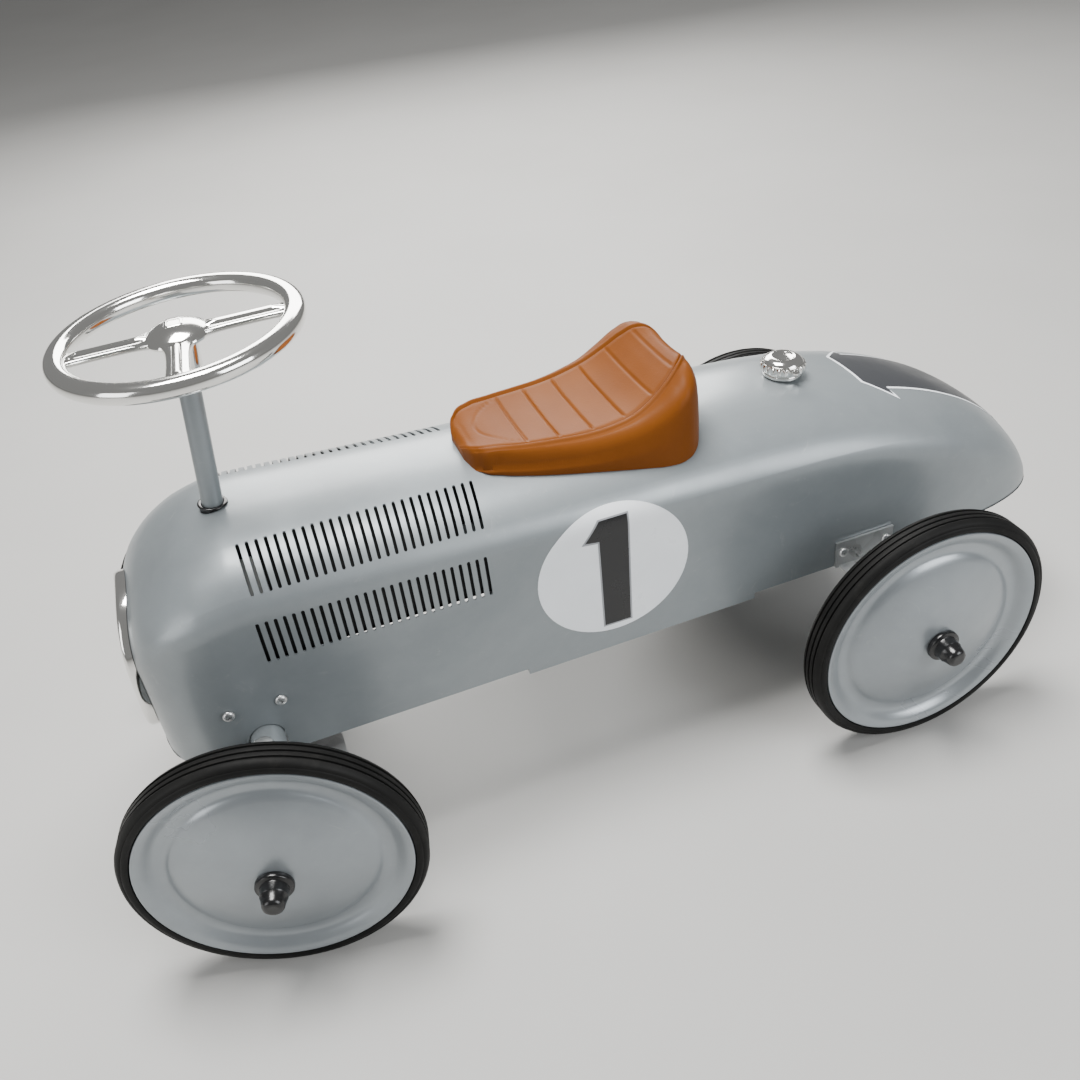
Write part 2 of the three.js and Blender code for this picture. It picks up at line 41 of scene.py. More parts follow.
# ------------------------------------------------------------------ camera, lights, floor
def camera():
    C = np.array([174.6, 611.1, 635.9]) * 1.04 + np.array([SHIFT_X, 0, 0])
    az, p, ro = math.radians(-106.06), math.radians(36.44), math.radians(7.51)
    f = np.array([math.cos(az) * math.cos(p), math.sin(az) * math.cos(p), -math.sin(p)])
    right = np.cross(f, [0, 0, 1.0]); right /= np.linalg.norm(right)
    down = np.cross(f, right)
    r2 = math.cos(ro) * right + math.sin(ro) * down
    d2 = -math.sin(ro) * right + math.cos(ro) * down
    R = np.eye(4); R[:3, 0], R[:3, 1], R[:3, 2], R[:3, 3] = r2, -d2, -f, C * MM
    cam = bpy.data.cameras.new("camera")
    cam.sensor_fit = "HORIZONTAL"; cam.sensor_width = 36.0
    cam.lens = 1078.0 / 1080.0 * 36.0
    cam.clip_start = 0.01; cam.clip_end = 50
    o = bpy.data.objects.new("camera", cam)
    SCN.collection.objects.link(o)
    o.matrix_world = Matrix([list(map(float, r)) for r in R])
    SCN.camera = o
camera()

def light(name, loc, target, size, power, color=(1, 1, 1), size_y=None):
    l = bpy.data.lights.new(name, "AREA"); l.energy = power; l.size = size; l.color = color
    if size_y: l.shape = "RECTANGLE"; l.size_y = size_y
    o = bpy.data.objects.new(name, l); SCN.collection.objects.link(o)
    d = Vector(target) - Vector(loc)
    o.matrix_world = Matrix.Translation(loc) @ d.to_track_quat("-Z", "Y").to_matrix().to_4x4()
light("key", (0.25, -0.15, 2.1), (0, 0, 0.1), 0.9, 90, (1, 0.99, 0.975))
light("fill", (-1.2, 1.7, 1.2), (0, 0, 0.15), 1.2, 37, (0.96, 0.98, 1))
light("rim", (-0.4, -1.9, 1.2), (0, 0, 0.2), 1.6, 54, (1, 0.985, 0.96), 1.0)
light("front_card", (1.9, 0.8, 0.8), (0.2, 0, 0.2), 0.9, 12, (1, 1, 1), 1.2)

world = bpy.data.worlds.new("world"); SCN.world = world; world.use_nodes = True
wn = world.node_tree.nodes; wn.clear()
wo = wn.new("ShaderNodeOutputWorld"); wb = wn.new("ShaderNodeBackground")
wb.inputs["Color"].default_value = (0.93, 0.93, 0.92, 1); wb.inputs["Strength"].default_value = 0.26
world.node_tree.links.new(wb.outputs[0], wo.inputs[0])

# ------------------------------------------------------------------ materials
class Nodes:
    def __init__(s, name):
        s.m = bpy.data.materials.new(name); s.m.use_nodes = True
        s.t = s.m.node_tree; s.t.nodes.clear()
        s.out = s.t.nodes.new("ShaderNodeOutputMaterial"); s.b = s.t.nodes.new("ShaderNodeBsdfPrincipled")
        s.t.links.new(s.b.outputs[0], s.out.inputs[0])
        s.tc = s.t.nodes.new("ShaderNodeTexCoord")
    def n(s, kind, **kw):
        x = s.t.nodes.new(kind)
        for k, v in kw.items():
            if k in x.inputs: x.inputs[k].default_value = v
            else: setattr(x, k, v)
        return x
    def l(s, a, b): s.t.links.new(a, b)
    def noise(s, scale, detail=4, rough=0.55, dist=0.0, src=None):
        x = s.n("ShaderNodeTexNoise"); x.inputs["Scale"].default_value = scale; x.inputs["Detail"].default_value = detail
        x.inputs["Roughness"].default_value = rough; x.inputs["Distortion"].default_value = dist
        s.l(src or s.tc.outputs["Object"], x.inputs["Vector"]); return x.outputs["Fac"]
    def ramp(s, fac, stops):
        x = s.n("ShaderNodeValToRGB"); s.l(fac, x.inputs["Fac"]); e = x.color_ramp.elements
        while len(e) < len(stops): e.new(0.5)
        for i, (p, c) in enumerate(stops):
            e[i].position = p; e[i].color = (*c, 1) if len(c) == 3 else c
        return x.outputs["Color"]
    def rng(s, fac, a, b, lo=0.3, hi=0.7):
        x = s.n("ShaderNodeMapRange"); s.l(fac, x.inputs["Value"])
        x.inputs["From Min"].default_value = lo; x.inputs["From Max"].default_value = hi
        x.inputs["To Min"].default_value = a; x.inputs["To Max"].default_value = b; return x.outputs["Result"]
    def mix(s, fac, a, b, kind="MIX"):
        x = s.n("ShaderNodeMix", data_type="RGBA", blend_type=kind)
        (s.l(fac, x.inputs[0]) if hasattr(fac, "links") else setattr(x.inputs[0], "default_value", fac))
        for v, i in ((a, 6), (b, 7)):
            if hasattr(v, "links"): s.l(v, x.inputs[i])
            else: x.inputs[i].default_value = (*v, 1)
        return x.outputs[2]
    def bump(s, h, strength, dist, prev=None):
        x = s.n("ShaderNodeBump"); x.inputs["Strength"].default_value = strength; x.inputs["Distance"].default_value = dist
        s.l(h, x.inputs["Height"])
        if prev is not None: s.l(prev, x.inputs["Normal"])
        return x.outputs["Normal"]
    def setv(s, **kw):
        for k, v in kw.items():
            i = s.b.inputs[k.replace("_", " ")]
            if hasattr(v, "links"): s.l(v, i)
            else: i.default_value = (*v, 1) if isinstance(v, tuple) and len(v) == 3 else v

def paint(name, dark, light_, metallic=0.35, rough=0.34):
    n = Nodes(name)
    cloud = n.noise(5.5, 5, 0.6, 0.6); fine = n.noise(55, 4, 0.6); speck = n.noise(900, 2, 0.5)
    col = n.ramp(cloud, [(0.30, dark), (0.72, light_)])
    col = n.mix(n.rng(fine, 0.0, 0.18, 0.45, 0.75), col, tuple(min(1, c * 1.12) for c in light_))
    scr = n.noise(30, 8, 0.75, 3.0)
    col = n.mix(n.rng(scr, 0.0, 0.10, 0.60, 0.70), col, (0.62, 0.64, 0.62))
    n.setv(Base_Color=col, Metallic=metallic, Roughness=n.rng(cloud, rough + 0.08, rough - 0.05))
    n.b.inputs["Coat Weight"].default_value = 0.22; n.b.inputs["Coat Roughness"].default_value = 0.16
    nb = n.bump(n.noise(420, 3, 0.5), 0.05, 0.0004)
    n.setv(Normal=n.bump(speck, 0.03, 0.0002, nb))
    return n.m
def metal(name, base, rough, aniso_scale=None, smudge=0.06, bump=0.0):
    n = Nodes(name)
    sm = n.noise(14, 5, 0.6, 0.8)
    col = n.ramp(sm, [(0.3, tuple(c * 0.94 for c in base)), (0.7, base)])
    n.setv(Base_Color=col, Metallic=1.0, Roughness=n.rng(sm, rough + smudge, rough))
    h = n.noise(260, 4, 0.6)
    n.setv(Normal=n.bump(h, bump, 0.0003))
    return n.m
def zinc(name):
    n = Nodes(name)
    v = n.n("ShaderNodeTexVoronoi"); v.inputs["Scale"].default_value = 90; n.l(n.tc.outputs["Object"], v.inputs["Vector"])
    sp = n.noise(30, 5, 0.65, 0.4)
    col = n.ramp(v.outputs["Color"], [(0.0, (0.50, 0.51, 0.51)), (1.0, (0.66, 0.67, 0.67))])
    col = n.mix(n.rng(sp, 0.0, 0.35, 0.5, 0.8), col, (0.42, 0.42, 0.40))
    n.setv(Base_Color=col, Metallic=0.95, Roughness=n.rng(sp, 0.42, 0.27), Normal=n.bump(n.noise(500, 3), 0.08, 0.0002))
    return n.m
def plastic(name, base, rough, grain=700, gb=0.12):
    n = Nodes(name)
    d = n.noise(20, 4)
    n.setv(Base_Color=n.ramp(d, [(0.3, base), (0.75, tuple(c * 1.6 + 0.003 for c in base))]), Roughness=n.rng(d, rough + 0.07, rough - 0.03),
           Normal=n.bump(n.noise(grain, 3), gb, 0.0002))
    return n.m
def rubber(name):
    n = Nodes(name)
    d = n.noise(16, 5, 0.6); f = n.noise(500, 3)
    col = n.ramp(d, [(0.3, (0.004, 0.004, 0.004)), (0.8, (0.010, 0.010, 0.0095))])
    dust = n.noise(60, 6, 0.7)
    col = n.mix(n.rng(dust, 0.0, 0.16, 0.56, 0.75), col, (0.05, 0.048, 0.043))
    n.b.inputs["Specular IOR Level"].default_value = 0.13
    n.setv(Base_Color=col, Roughness=n.rng(d, 0.62, 0.46), Normal=n.bump(f, 0.25, 0.0003))
    return n.m
def vinyl(name):
    n = Nodes(name)
    cl = n.noise(12, 4, 0.55); v = n.n("ShaderNodeTexVoronoi"); v.inputs["Scale"].default_value = 900
    n.l(n.tc.outputs["Object"], v.inputs["Vector"])
    col = n.ramp(cl, [(0.28, (0.125, 0.037, 0.0065)), (0.72, (0.165, 0.051, 0.0095))])
    col = n.mix(n.rng(n.noise(180, 3), 0.0, 0.14, 0.5, 0.8), col, (0.20, 0.055, 0.012))
    n.setv(Base_Color=col, Roughness=n.rng(cl, 0.44, 0.36))
    n.b.inputs["Specular IOR Level"].default_value = 0.05
    n.b.inputs["Coat Weight"].default_value = 0.0; n.b.inputs["Coat Roughness"].default_value = 0.3
    b1 = n.bump(v.outputs["Distance"], 0.13, 0.0004)
    n.setv(Normal=n.bump(n.noise(1400, 2), 0.08, 0.0002, b1))
    return n.m
def sticker(name, base, rough=0.3):
    n = Nodes(name)
    d = n.noise(40, 4)
    n.setv(Base_Color=n.ramp(d, [(0.3, tuple(c * 0.95 for c in base)), (0.7, base)]), Roughness=n.rng(d, rough + 0.06, rough - 0.03), Normal=n.bump(n.noise(240, 3), 0.03, 0.0003))
    return n.m
M = dict(
    paint=paint("paint_grey", (0.200, 0.223, 0.236), (0.262, 0.289, 0.301)),
    wheel=paint("paint_wheel", (0.245, 0.268, 0.285), (0.318, 0.345, 0.364), 0.5, 0.30),
    chrome=metal("chrome_bright", (0.88, 0.875, 0.85), 0.075, smudge=0.07, bump=0.015),
    zinc=zinc("zinc_plate"), black=plastic("black_plastic", (0.004, 0.004, 0.0045), 0.22), rubber=rubber("tyre_rubber"),
    vinyl=vinyl("tan_vinyl"), white=sticker("sticker_white", (0.86, 0.89, 0.92)), ink=sticker("sticker_black", (0.008, 0.008, 0.009), 0.28),
    # dark: near-black painted shade for the unlit inside, used on the shell's inner faces and on the slot backings
    edge=sticker("sticker_grey", (0.30, 0.31, 0.33)), stripe=sticker("sticker_charcoal", (0.035, 0.037, 0.041), 0.32), dark=plastic("inside_painted_shade", (0.006, 0.006, 0.007), 0.6),
)

# ------------------------------------------------------------------ mesh helpers (millimetres in, metres out)
def to_obj(name, verts, faces, mat, body=None, smooth=35, matrix=None, merge=0.0):
    me = bpy.data.meshes.new(name)
    v = np.asarray(verts, float)
    if matrix is not None:
        v = v @ np.array(matrix)[:3, :3].T + np.array(matrix)[:3, 3]
    v = v + np.array([SHIFT_X, 0, 0])
    me.from_pydata([tuple(map(float, p * MM)) for p in v], [], [tuple(int(i) for i in f) for f in faces])
    bm = bmesh.new(); bm.from_mesh(me)
    if merge: bmesh.ops.remove_doubles(bm, verts=bm.verts, dist=merge * MM)
    bmesh.ops.recalc_face_normals(bm, faces=bm.faces)
    bm.to_mesh(me); bm.free()
    return finish_mesh(name, me, mat, body, smooth)
def finish_mesh(name, me, mat, body, smooth):
    me.name = name
    for p in me.polygons: p.use_smooth = bool(smooth)
    if smooth: me.set_sharp_from_angle(angle=math.radians(smooth))
    me.materials.clear(); me.materials.append(mat)
    o = bpy.data.objects.new(name, me); SCN.collection.objects.link(o)
    if body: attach(o, body)
    return o
def revolve(profile, seg=64):
    """closed ring of (radius, z) pairs, or from axis to axis, turned about z"""
    P = [tuple(map(float, p)) for p in profile]
    verts, faces, idx = [], [], []
    for r, z in P:
        if r < 1e-6: idx.append([len(verts)] * seg); verts.append((0, 0, z))
        else:
            idx.append(list(range(len(verts), len(verts) + seg)))
            verts += [(r * math.cos(2 * math.pi * k / seg), r * math.sin(2 * math.pi * k / seg), z) for k in range(seg)]
    n = len(P); open_ = P[0][0] < 1e-6 and P[-1][0] < 1e-6
    for i in range(n - 1 if open_ else n):
        a, b = idx[i], idx[(i + 1) % n]
        for k in range(seg):
            q = [a[k], a[(k + 1) % seg], b[(k + 1) % seg], b[k]]
            u = []
            for t in q:
                if t not in u: u.append(t)
            if len(u) >= 3: faces.append(u)
    return verts, faces
def soften(profile, r=0.3):
    """small 45 degree breaks at the corners of a profile"""
    n = len(profile); out = []
    for i, p in enumerate(profile):
        p = np.array(p, float)
        if p[0] < 1e-6: out.append(tuple(p)); continue
        a = np.array(profile[i - 1], float); b = np.array(profile[(i + 1) % n], float)
        da, db = a - p, b - p; la, lb = np.linalg.norm(da), np.linalg.norm(db)
        if la < 1e-6 or lb < 1e-6: continue
        c = np.dot(da, db) / la / lb
        if c < -0.9: out.append(tuple(p)); continue
        k = min(r, la * 0.4, lb * 0.4)
        p1, p2 = p + da / la * k, p + db / lb * k
        out += [tuple(p1), tuple((p1 + p2) / 2 * 0.42 + p * 0.58), tuple(p2)]
    return out
def loft(rings, caps=True):
    n = len(rings[0]); verts = [p for r in rings for p in r]; faces = []
    for i in range(len(rings) - 1):
        for j in range(n):
            a, b = i * n + j, i * n + (j + 1) % n
            faces.append((a, b, b + n, a + n))
    if caps: faces.append(tuple(range(n))); faces.append(tuple(range((len(rings) - 1) * n, len(rings) * n)))
    return verts, faces
def merge_parts(*parts):
    V, F = [], []
    for v, f in parts:
        k = len(V); V += list(v); F += [tuple(i + k for i in q) for q in f]
    return V, F
def xf(part, m):
    v, f = part; m = np.array(m)
    return (np.asarray(v, float) @ m[:3, :3].T + m[:3, 3]).tolist(), f
def rotm(axis, deg): return Matrix.Rotation(math.radians(deg), 4, axis)
def trans(x, y, z): return Matrix.Translation((x, y, z))
def baked(o):
    """the object's mesh with its modifiers applied"""
    dg = bpy.context.evaluated_depsgraph_get()
    me = bpy.data.meshes.new_from_object(o.evaluated_get(dg)); bpy.data.objects.remove(o)
    return me

# ------------------------------------------------------------------ body surface, as in the CAD part
BODY_W, BODY_Z0, SH_H, SH_N = 81.0, 125.4, 41.6, 2.2
CROWN = np.array([[-192.4, 257.9], [-156, 260.3], [-52, 265.2], [53, 271.0], [135.2, 276.6], [217.4, 281.8], [239.2, 282.8], [320, 286]])
TAIL_X0, TAIL_X1, NOSE_X0, NOSE_L, NOSE_ZC, PLAN_X0 = -166.0, -420.0, 214.2, 83.2, 146.2, 243.4
_slope = np.gradient(CROWN[:, 1], CROWN[:, 0])
def crown(x):
    i = int(np.clip(np.searchsorted(CROWN[:, 0], x) - 1, 0, len(CROWN) - 2))
    x0, z0 = CROWN[i]; x1, z1 = CROWN[i + 1]
    if x < CROWN[0, 0]: return z0 + (x - x0) * (z1 - z0) / (x1 - x0)
    h = x1 - x0; t = (x - x0) / h
    return (2*t**3 - 3*t*t + 1) * z0 + (t**3 - 2*t*t + t) * h * _slope[i] + (-2*t**3 + 3*t*t) * z1 + (t**3 - t*t) * h * _slope[i + 1]
def station(x, d=0.0):
    w, zt, h = BODY_W + d, crown(x) + d, SH_H
    if x < TAIL_X0:
        t = min(1.0, (TAIL_X0 - x) / (TAIL_X0 - TAIL_X1 + d))
        w *= max(0, 1 - t ** 4.5) ** (1 / 4.0)
        zt = BODY_Z0 + (zt - BODY_Z0) * max(0, 1 - t ** 2.47) ** (1 / 1.68)
        h = min(h * (0.35 + 0.65 * w / BODY_W), (zt - BODY_Z0) * 0.95)
    if x > NOSE_X0:
        t = min(1.0, (x - NOSE_X0) / (NOSE_L + d)); f = max(0, 1 - t ** 1.21) ** (1 / 5.25)
        u = min(1.0, max(0.0, (x - PLAN_X0) / (NOSE_X0 + NOSE_L + d - PLAN_X0))); fw = max(0, 1 - u ** 1.2) ** (1 / 4.6)
        w *= fw; zt = NOSE_ZC + (zt - NOSE_ZC) * f; h *= min(f, fw)
    return w, zt, h
_TH = np.linspace(0, math.pi / 2, 160)
_C, _S = np.cos(_TH) ** (2 / SH_N), np.sin(_TH) ** (2 / SH_N); _C[-1] = 0
def section(x, d=0.0):
    w, zt, h = station(x, d)
    Y = np.r_[w, w * _C]; Z = np.r_[BODY_Z0, (zt - h) + h * _S]
    s = np.r_[0, np.cumsum(np.hypot(np.diff(Y), np.diff(Z)))]
    return Y, Z, s
_cache = {}
def at(x, s=None, frac=None, d=0.0):
    k = (round(x, 4), d)
    if k not in _cache: _cache[k] = section(x, d)
    Y, Z, S = _cache[k]
    q = s if s is not None else frac * S[-1]
    return float(np.interp(q, S, Y)), float(np.interp(q, S, Z)), float(S[-1])
def point(x, s, side=1, off=0.0):
    """point on the body skin, s along the section from its bottom edge, raised by off"""
    y, z, S = at(x, s=s)
    if off:
        e = 0.6
        y1, z1, _ = at(x, s=min(S, s + e)); y0, z0, _ = at(x, s=max(0, s - e))
        ya, za, _ = at(x + e, s=s); yb, zb, _ = at(x - e, s=s)
        n = np.cross([0, y1 - y0, z1 - z0], [2 * e, ya - yb, za - zb]); n = n / (np.linalg.norm(n) + 1e-9)
        if n[1] < 0 and abs(n[1]) > abs(n[2]) or (n[2] < 0 and abs(n[2]) >= abs(n[1])): n = -n
        return (x + n[0] * off, side * (y + n[1] * off), z + n[2] * off)
    return (x, side * y, z)

def body_shell():
    R = 1.15
    cols = []                                   # (x in the lower rows, x in the upper rows, rake, y scale, slot number or None, place in slot)
    def plain(x, k=1.0): cols.append((x, x, 0.0, k, None, None))
    tip_t = 0.9985
    xe = TAIL_X0 - tip_t * (TAIL_X0 - TAIL_X1)
    for k in (0.0, 0.3, 0.6, 0.85): cols.append((xe - 0.25 * (1 - k * k), xe - 0.25 * (1 - k * k), 0.0, k, None, None))
    for t in 1 - (1 - tip_t) ** np.linspace(1, 0.0, 46)[:-1] * 1.0: plain(TAIL_X0 - t * (TAIL_X0 - TAIL_X1))
    x = TAIL_X0
    while x < 46: plain(x); x += 7.05
    XL = [211.8 - i * 151.1 / 26 for i in range(27)]; XU = [209.05 - i * 154.3 / 26 for i in range(27)]
    RK = [0.7 - 5.3 * i / 26 for i in range(27)]
    plain(50.5)
    for i in range(26, -1, -1):
        for j, q in enumerate((-1, -0.7, 0, 0.7, 1)): cols.append((XL[i] + q * R, XU[i] + q * R, RK[i], 1.0, i, j))
        if i: cols.append(((XL[i] + XL[i - 1]) / 2, (XU[i] + XU[i - 1]) / 2, (RK[i] + RK[i - 1]) / 2, 1.0, None, None))
    for x in (217.5, 221.5, 226, 231, 236, 241): plain(x)
    x0 = 245.0; L = NOSE_X0 + NOSE_L - x0
    for t in np.linspace(0, 1, 34)[:-1]: plain(x0 + L * (1 - (1 - t) ** 2.2) * 0.9985)
    xe = x0 + L * 0.9985
    for k in (0.85, 0.6, 0.3, 0.0): cols.append((xe + 0.2 * (1 - k * k), xe + 0.2 * (1 - k * k), 0.0, k, None, None))
    cols.sort(key=lambda c: (c[0] if c[3] == 1.0 else c[0] + (0.5 if c[0] > 0 else -0.5) * (1 - c[3])))
    # rows as fractions of the section length, from the bottom edge to the crown
    def anchors(x):
        k = min(1.0, max(0.0, (212 - x) / 151))
        f = lambda a, b: a + (b - a) * k
        return [0.0, f(0.3713, 0.3776), f(0.5241, 0.5353), f(0.6120, 0.6253), f(0.7889, 0.8165), 1.0]
    rows = []                                   # (anchor a, anchor b, fraction, mm from a, kind)
    for q in (0, 0.012, 0.04, 0.12, 0.25, 0.4, 0.55, 0.7, 0.85): rows.append((0, 1, q, 0.0, "n"))
    def slotrows(a, b, tag):
        rows.append((a, b, 0, 0.0, tag + "0")); rows.append((a, b, 0, 0.3 * R, tag + "1")); rows.append((a, b, 0, R, tag + "2"))
        for q in (0.25, 0.5, 0.75): rows.append((a, b, q, 0.0, tag + "m"))
        rows.append((a, b, 1, -R, tag + "3")); rows.append((a, b, 1, -0.3 * R, tag + "4")); rows.append((a, b, 1, 0.0, tag + "5"))
    slotrows(1, 2, "L")
    for q in (0.25, 0.5, 0.75): rows.append((2, 3, q, 0.0, "n"))
    slotrows(3, 4, "U")
    for q in (0.12, 0.26, 0.42, 0.58, 0.74, 0.88, 1.0): rows.append((4, 5, q, 0.0, "n"))
    V, nr = [], len(rows) + 2
    for xl, xu, rk, k, _, _ in cols:
        an = anchors(xl)
        col = []
        for a, b, q, dm, tag in rows:
            S = at(xl, s=0)[2]
            f = an[a] + (an[b] - an[a]) * q + dm / max(S, 1)
            if f <= an[2]: x = xl
            elif f < an[3]: t = (f - an[2]) / (an[3] - an[2]); x = xl + (xu - xl) * t * t * (3 - 2 * t) - rk / 2 * t
            elif f <= an[4]: x = xu + rk * ((f - an[3]) / (an[4] - an[3]) - 0.5)
            else: x = xu + rk / 2 * max(0.0, 1 - (f - an[4]) / (1 - an[4]) * 2.2)
            y, z, _ = at(x, frac=f)
            col.append([x, y * k, z])
        x, y, z = col[0]
        V += [[x, max(y - 3.4, 0) if k else 0, z + 0.9], [x, max(y - 0.9, 0) if k else 0, z + 0.05]]
        col[0][2] += 0.7
        V += col
    V = np.array(V); nc = len(cols)
    def drop(ci, ri):
        """None, 'all' or the corner triangle to leave, for the cell between column ci, ci+1 and row ri, ri+1"""
        a, b = cols[ci], cols[ci + 1]
        if a[4] is None or a[4] != b[4] or ri < 2: return None
        t0, t1, j = rows[ri - 2][4], rows[ri - 1][4], a[5]
        if t0[0] not in "LU" or t1[0] != t0[0]: return None
        p = (t0[1], t1[1])
        if p == ("0", "1"): return {1: "br", 2: "bl"}.get(j)
        if p == ("1", "2"): return {0: "br", 1: "all", 2: "all", 3: "bl"}[j]
        if p == ("3", "4"): return {0: "tr", 1: "all", 2: "all", 3: "tl"}[j]
        if p == ("4", "5"): return {1: "tr", 2: "tl"}.get(j)
        return "all"
    faces = []
    for side in (0, 1):
        off = side * len(V)
        for c in range(nc - 1):
            for r in range(nr - 1):
                a, b, d, e = c * nr + r, (c + 1) * nr + r, (c + 1) * nr + r + 1, c * nr + r + 1   # a low-left, b low-right, d up-right, e up-left
                k = drop(c, r)
                if k == "all": continue
                if k is None: q = [a, b, d, e]
                elif k == "br": q = [a, b, e]      # slot lies beyond the upper right corner
                elif k == "bl": q = [a, b, d]
                elif k == "tr": q = [a, d, e]
                else: q = [b, d, e]
                if k in ("br", "bl") and rows[r - 2][4][1] == "1" and False: pass
                faces.append([i + off for i in (q if not side else q[::-1])])
    W = V.copy(); W[:, 1] *= -1
    o = to_obj("body_tmp", np.vstack([V, W]), faces, M["paint"], None, 40, merge=0.02)
    # axle notches through the side walls and the column hole in the crown, cut along their outlines
    bm = bmesh.new(); bm.from_mesh(o.data)
    sx = SHIFT_X
    def carve(pick, planes, gone):
        for co, no in planes:
            fs = [f for f in bm.faces if pick(f.calc_center_median() / MM)]
            geom = list({v for f in fs for v in f.verts}) + list({e for f in fs for e in f.edges}) + fs
            bmesh.ops.bisect_plane(bm, geom=geom, dist=1e-7, plane_co=Vector(co) * MM, plane_no=Vector(no))
        bmesh.ops.delete(bm, geom=[f for f in bm.faces if pick(f.calc_center_median() / MM) and gone(f.calc_center_median() / MM)], context="FACES")
    r, nx_, nz_ = 12.2, 229 + sx, 143
    K = 20
    angs = [math.pi * (k + 0.5) / K for k in range(K)]
    pl = [((nx_ + r * math.cos(a), 0, nz_ + r * math.sin(a)), (math.cos(a), 0, math.sin(a))) for a in angs] + [((nx_ + r, 0, 130), (1, 0, 0)), ((nx_ - r, 0, 130), (-1, 0, 0))]
    carve(lambda c: abs(c.y) > 60 and abs(c.x - nx_) < 26 and c.z < 165, pl,
          lambda c: abs(c.x - nx_) < r and (c.z < nz_ or math.hypot(c.x - nx_, c.z - nz_) < r * 1.001))
    ax = Vector((-math.sin(math.radians(6.5)), 0, math.cos(math.radians(6.5)))); c0 = Vector((217.4 + sx, 0, 281.8))
    e1 = Vector((math.cos(math.radians(6.5)), 0, math.sin(math.radians(6.5)))); e2 = Vector((0, 1, 0)); hr = 8.7
    dirs = [e1 * math.cos(2 * math.pi * (k + 0.5) / 24) + e2 * math.sin(2 * math.pi * (k + 0.5) / 24) for k in range(24)]
    def rad_(c):
        d = c - c0; return (d - ax * d.dot(ax)).length
    carve(lambda c: c.z > 262 and rad_(c) < 17, [(tuple(c0 + d * hr), tuple(d)) for d in dirs], lambda c: rad_(c) < hr * 0.999)
    bm.to_mesh(o.data); bm.free()
    # the inner faces get the near-black material: painted shade for the unlit inside of the shell, seen through the
    # slots and from below
    o.data.materials.append(M["dark"])
    so = o.modifiers.new("skin", "SOLIDIFY"); so.thickness = 1.25 * MM; so.offset = -1; so.use_even_offset = False
    so.material_offset = 1; so.material_offset_rim = 0
    me = baked(o)
    inner = [min(1, p.material_index) if abs(p.center.x) < 0.371 else 0 for p in me.polygons]
    o = finish_mesh("body_shell_skin", me, M["paint"], "chassis", 32)
    me.materials.append(M["dark"]); me.polygons.foreach_set("material_index", inner)
    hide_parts("body_shell_side_left", "body_shell_side_right", "body_shell_top", "body_shell_nose", "body_shell_tail")
    return o
body_shell()

# ------------------------------------------------------------------ stickers on the skin
def patch(name, quads, off, mat, side, n=10, thick=0.12):
    """quads in (x, s) on the body skin, each split n by n, as a thin solid"""
    V, F = [], []
    for q in quads:
        q = np.array(q, float); k = len(V); m = n + 1
        for i in range(m):
            for j in range(m):
                u, v = i / n, j / n
                p = (1 - u) * (1 - v) * q[0] + u * (1 - v) * q[1] + u * v * q[2] + (1 - u) * v * q[3]
                V.append(point(p[0], p[1], side, off))
        for i in range(n):
            for j in range(n):
                a = k + i * m + j; F.append((a, a + m, a + m + 1, a + 1))
    o = to_obj(name + "_tmp", V, F, mat, None, 60, merge=0.02)
    so = o.modifiers.new("t", "SOLIDIFY"); so.thickness = thick * MM; so.offset = 0
    me = baked(o)
    o = finish_mesh(name, me, mat, "chassis", 60); return o
def disc_patch(name, x0, s0, ra, rb, off, mat, side, rings=14, seg=72, thick=0.12):
    V, F = [point(x0, s0, side, off)], []
    for i in range(1, rings + 1):
        for k in range(seg):
            a = 2 * math.pi * k / seg
            V.append(point(x0 + ra * i / rings * math.cos(a), s0 + rb * i / rings * math.sin(a), side, off))
    for k in range(seg): F.append((0, 1 + k, 1 + (k + 1) % seg))
    for i in range(rings - 1):
        for k in range(seg):
            a = 1 + i * seg; F.append((a + k, a + seg + k, a + seg + (k + 1) % seg, a + (k + 1) % seg))
    o = to_obj(name + "_tmp", V, F, mat, None, 60)
    so = o.modifiers.new("t", "SOLIDIFY"); so.thickness = thick * MM; so.offset = 0
    me = baked(o)
    o = finish_mesh(name, me, mat, "chassis", 60); return o
def numeral(name, pts, off, mat, side):
    TR, TL, FT, NI, BL, BR = [np.array(p, float) for p in pts]
    k = (TL + BL) / 2
    quads = [[NI, BL, BR, TR], [TL, FT, NI, TR]]
    patch(name, quads, off, mat, side, n=32)
ONE = [(-41.7, 109.0), (-20.8, 109.2), (-9.1, 95.0), (-19.6, 93.3), (-18.6, 18.2), (-38.6, 17.8)]
def grow(pts, d):
    TR, TL, FT, NI, BL, BR = pts
    return [(TR[0] - d, TR[1] + d), (TL[0] + d * 0.6, TL[1] + d), (FT[0] + 2.1 * d, FT[1] - d), (NI[0] + d, NI[1] - d), (BL[0] + d, BL[1] - d), (BR[0] - d, BR[1] - d)]
for side, tag in ((1, "left"), (-1, "right")):
    disc_patch("roundel_" + tag, -29.0, 65.5, 57.2, 53.6, 0.16, M["white"], side)
    p = ONE
    if side < 0: p = [(2 * -29.0 - x, s) for x, s in ONE]
    g = grow(ONE, 1.25)
    if side < 0: g = [(2 * -29.0 - x, s) for x, s in g]
    numeral("numeral_edge_" + tag, g, 0.27, M["edge"], side)
    numeral("numeral_" + tag, p, 0.37, M["ink"], side)
